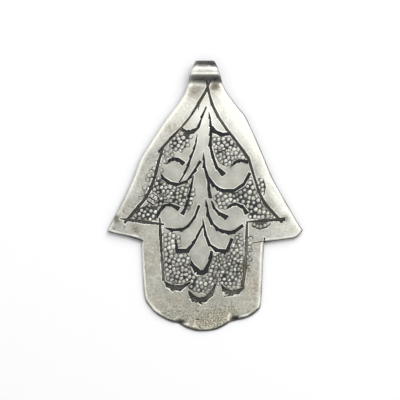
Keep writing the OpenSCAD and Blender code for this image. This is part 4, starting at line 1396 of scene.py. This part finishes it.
class NodeSheet:
    """Short ways to add and join shader nodes."""

    def __init__(self, tree):
        self.tree = tree

    def feed(self, socket, value):
        """Links an output to a socket, or sets the socket to a plain value."""
        if isinstance(value, bpy.types.NodeSocket):
            self.tree.links.new(value, socket)
        else:
            socket.default_value = value

    def add(self, kind, **inputs):
        """Adds a node and feeds some of its inputs by name."""
        node = self.tree.nodes.new(kind)
        for key, value in inputs.items():
            self.feed(node.inputs[key], value)
        return node

    def math(self, operation, a, b, clamp=False):
        """One sum with two values."""
        node = self.tree.nodes.new("ShaderNodeMath")
        node.operation, node.use_clamp = operation, clamp
        self.feed(node.inputs[0], a)
        self.feed(node.inputs[1], b)
        return node.outputs[0]

    def plus(self, a, b, clamp=False):
        """a + b, kept from 0 to 1 if asked."""
        return self.math("ADD", a, b, clamp)

    def minus(self, a, b, clamp=False):
        """a - b, kept from 0 to 1 if asked."""
        return self.math("SUBTRACT", a, b, clamp)

    def times(self, a, b, clamp=False):
        """a * b, kept from 0 to 1 if asked."""
        return self.math("MULTIPLY", a, b, clamp)

    def swing(self, value, much):
        """A value that runs from 0 to 1, made to swing about 0."""
        return self.times(self.minus(value, 0.5), much)

    def ramp(self, value, low, high, to_low=0.0, to_high=1.0):
        """A smooth change from one level to another, as a value goes from low to high."""
        node = self.tree.nodes.new("ShaderNodeMapRange")
        node.interpolation_type = "SMOOTHSTEP"
        for socket, given in zip(node.inputs, (value, low, high, to_low, to_high)):
            self.feed(socket, given)
        return node.outputs[0]

    def mix(self, share, a, b, kind="MIX"):
        """Colour b laid over colour a."""
        node = self.tree.nodes.new("ShaderNodeMix")
        node.data_type, node.blend_type = "RGBA", kind
        for number, given in ((0, share), (6, a), (7, b)):
            self.feed(node.inputs[number], given)
        return node.outputs[2]

    def mix_value(self, share, a, b):
        """A plain value between a and b."""
        node = self.tree.nodes.new("ShaderNodeMix")
        for number, given in ((0, share), (2, a), (3, b)):
            self.feed(node.inputs[number], given)
        return node.outputs[0]

    def tint(self, base, tint):
        """A colour seen through another."""
        return self.mix(1.0, base, tint, "MULTIPLY")

    def attribute(self, name):
        """A value that was stored for each vertex."""
        node = self.tree.nodes.new("ShaderNodeAttribute")
        node.attribute_name = name
        return node.outputs["Fac"]

    def facing(self, way, towards, low, high, light):
        """Light that grows as a direction comes nearer to another one."""
        node = self.tree.nodes.new("ShaderNodeVectorMath")
        node.operation = "DOT_PRODUCT"
        self.feed(node.inputs[0], way)
        self.feed(node.inputs[1], Vector(towards).normalized())
        return self.ramp(node.outputs["Value"], low, high, 0.0, light)


def colour(value):
    """A colour with its fourth channel, as nodes take it."""
    return (*value, 1.0)


class SilverNodes(NodeSheet):
    """The finish of the old silver, after the marks that the relief has left."""

    def __init__(self, tree, finish):
        super().__init__(tree)
        self.finish = finish
        place = self.add("ShaderNodeTexCoord").outputs["Object"]
        place = self.add("ShaderNodeMapping", Vector=place, Scale=(MM_PER_M,) * 3).outputs[0]
        for name in ("front", *MARKS):
            setattr(self, name, self.attribute(name))
        for name, (scale, detail, rough) in NOISES.items():
            noise = self.add("ShaderNodeTexNoise", Vector=place, Scale=scale, Detail=detail, Roughness=rough)
            setattr(self, name, noise.outputs["Fac"])
        self.foot = self.minus(self.patina, 1.0, clamp=True)

    def dullness(self):
        """How dull the skin is, from 0 where it is rubbed bright or painted with a highlight, to 1."""
        dull = self.plus(self.tone, self.swing(self.cloud, CLOUD_SWING))
        patches = self.plus(self.swing(self.mottle, MOTTLE_SWING), self.swing(self.grain, GRAIN_SWING))
        dull = self.plus(dull, self.times(patches, self.patina))
        sand = self.minus(self.ramp(self.sand, *NOISE_MIDDLE), 0.5)
        dull = self.plus(dull, self.times(self.times(sand, self.foot), SAND_SWING))
        dull = self.minus(dull, self.wear_and_sheen, clamp=True)
        return self.mix_value(self.front, BACK_DULLNESS, dull)

    def blackness(self):
        """How black the tarnish and the painted shade are: in the cuts, on the edge and the roll, and in
        specks beside the cuts.
        """
        black = self.plus(self.oxide_and_shade, self.swing(self.grain, BLACK_SWING))
        black = self.ramp(black, *BLACK_FROM)
        specks = self.times(self.ramp(self.specks, *SPECKS_FROM), SPECKS_SHARE)
        specks = self.times(specks, self.patina)
        return self.math("MAXIMUM", black, self.times(specks, self.tone))

    def skin_colour(self, dull):
        """Colour of the skin, with its brown stains and the flecks of the sandy foot."""
        base = self.mix(dull, colour(self.finish.clean), colour(self.finish.dull))
        tint = self.ramp(self.warmth, *WARM_FROM)
        tint = self.mix(tint, colour(COOL_TINT), colour(WARM_TINT))
        base = self.tint(base, tint)
        tanned = self.tint(base, colour(TAN_TINT))
        base = self.mix(self.times(self.brown, TAN_SHARE), base, tanned)
        flecks = self.ramp(self.leaning, *NOISE_MIDDLE)
        flecks = self.mix(flecks, colour(GREEN_FLECKS), colour(RED_FLECKS))
        base = self.mix(self.times(self.foot, FLECKS_SHARE), base, self.tint(base, flecks))
        rust = self.times(self.brown, self.ramp(self.mottle, *NOISE_MIDDLE), clamp=True)
        return self.mix(self.times(rust, RUST_SHARE), base, colour(self.finish.brown))

    def tarnish_colour(self):
        """Colour of the tarnish in the cuts: black, greenish or brown."""
        greenish = self.ramp(self.warmth, *GREEN_FROM)
        deep = self.mix(greenish, colour(self.finish.sulphide), colour(self.finish.verdigris))
        return self.mix(self.brown, deep, colour(self.finish.umber))


def old_silver(finish):
    """Old silver: bright where it is rubbed or painted with highlights, dull on the flat, black in the cuts
    and where shade is painted.
    """
    material = bpy.data.materials.new("old_silver")
    material.use_nodes = True
    material.node_tree.nodes.clear()
    nodes = SilverNodes(material.node_tree, finish)
    dull, black = nodes.dullness(), nodes.blackness()
    rough = nodes.ramp(dull, 0.0, 1.0, *ROUGH_FROM_TO)
    rough = nodes.plus(rough, nodes.times(black, BLACK_ROUGHER), clamp=True)
    bump = nodes.add("ShaderNodeBump", Height=nodes.grain, Strength=GRAIN_SHARE, Distance=GRAIN_H)
    shader = nodes.add(
        "ShaderNodeBsdfPrincipled", Metallic=1.0, Roughness=rough, Normal=bump.outputs[0])
    base = nodes.mix(black, nodes.skin_colour(dull), nodes.tarnish_colour())
    nodes.feed(shader.inputs["Base Color"], base)
    nodes.add("ShaderNodeOutputMaterial", Surface=shader.outputs[0])
    return material


def softbox(name, place, width, watts):
    """A square soft light that points at the pendant."""
    deselect()
    bpy.ops.object.light_add(type="AREA", location=place)
    light = bpy.context.object
    light.name = name
    light.data.shape = "RECTANGLE"
    light.data.size = light.data.size_y = width
    light.data.energy = watts
    light.rotation_euler = (-Vector(place)).to_track_quat("-Z", "Y").to_euler()
    return light


class PENDANT_OT_stage(bpy.types.Operator):
    """Sets the pale floor, the soft lights and the camera"""
    bl_idname = "pendant.stage"
    bl_label = "Set the stage"

    def execute(self, context):
        """Lays the floor, hangs the lights and places the camera."""
        stage = context.scene.pendant_stage
        deselect()
        bpy.ops.mesh.primitive_plane_add(size=stage.floor_w, location=(0, 0, 0))
        floor = bpy.context.object
        floor.name = "pale_floor"
        floor.data.materials.append(pale_floor())
        window = softbox("window", WINDOW_PLACE, WINDOW_W, WINDOW_WATTS)
        window.visible_glossy = False
        context.scene.world = soft_sky()
        context.scene.view_settings.view_transform = "Standard"
        self.place_camera(context, stage)
        return {"FINISHED"}

    def place_camera(self, context, stage):
        """Looks straight down, with the pendant where the photograph has it."""
        step = stage.frame_w / PICTURE_STEPS
        half = PICTURE_STEPS / 2
        middle = ((CHART_MID_X - half) * -step, (CHART_REST_Y - half) * step)
        bpy.ops.object.camera_add(location=(middle[0], middle[1], stage.camera_h))
        camera = bpy.context.object
        camera.name = "camera"
        camera.rotation_euler = (0, 0, 0)
        reach = stage.camera_h - BOX_HIGH.z / 2
        camera.data.lens = camera.data.sensor_width * reach / stage.frame_w
        camera.data.clip_start, camera.data.clip_end = SEEN_FROM_TO
        context.scene.camera = camera


def soft_sky():
    """A white tent over the stage. Metal sees it dimmer straight above and dark low down."""
    world = bpy.data.worlds.new("white_tent")
    world.use_nodes = True
    background = world.node_tree.nodes["Background"]
    nodes = NodeSheet(world.node_tree)
    way = nodes.add("ShaderNodeTexCoord").outputs["Generated"]
    height = nodes.add("ShaderNodeSeparateXYZ", Vector=way).outputs["Z"]
    glow = nodes.times(nodes.ramp(height, *TENT_WALL), nodes.ramp(height, *TENT_TOP))
    for patch in TENT_PATCHES:
        glow = nodes.plus(glow, nodes.facing(way, *patch))
    glossy = nodes.add("ShaderNodeLightPath").outputs["Is Glossy Ray"]
    nodes.feed(background.inputs["Strength"], nodes.mix_value(glossy, TENT_LIGHT, glow))
    background.inputs["Color"].default_value = colour((1.0, 1.0, 1.0))
    return world


def pale_floor():
    """A smooth white surface."""
    material = bpy.data.materials.new("pale_floor")
    material.use_nodes = True
    shader = material.node_tree.nodes["Principled BSDF"]
    shader.inputs["Base Color"].default_value = colour(FLOOR_COLOUR)
    shader.inputs["Roughness"].default_value = 0.7
    shader.inputs["Specular IOR Level"].default_value = 0.2
    return material


class PENDANT_PT_panel(bpy.types.Panel):
    """Lists the steps that build the pendant"""
    bl_label = "Hamsa pendant"
    bl_idname = "PENDANT_PT_panel"
    bl_space_type = "VIEW_3D"
    bl_region_type = "UI"
    bl_category = "Pendant"

    def draw(self, context):
        """Draws a button for each step."""
        for step in (PENDANT_OT_hamsa, PENDANT_OT_stage):
            self.layout.operator(step.bl_idname)


GROUPS = {
    "pendant_blank": BlankSizes,
    "pendant_engraving": EngravingSizes,
    "pendant_finish": SilverFinish,
    "pendant_stage": StageSettings,
}
CLASSES = (*GROUPS.values(), PENDANT_OT_hamsa, PENDANT_OT_stage, PENDANT_PT_panel)


def register():
    """Adds the settings, the steps and the panel."""
    for item in CLASSES:
        bpy.utils.register_class(item)
    for name, group in GROUPS.items():
        setattr(bpy.types.Scene, name, PointerProperty(type=group))


def unregister():
    """Takes away what register() added."""
    for name in GROUPS:
        delattr(bpy.types.Scene, name)
    for item in reversed(CLASSES):
        bpy.utils.unregister_class(item)


def main():
    """Builds the pendant and its stage."""
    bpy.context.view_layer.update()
    register()
    bpy.ops.pendant.hamsa()
    bpy.ops.pendant.stage()


if __name__ == "__main__":
    main()
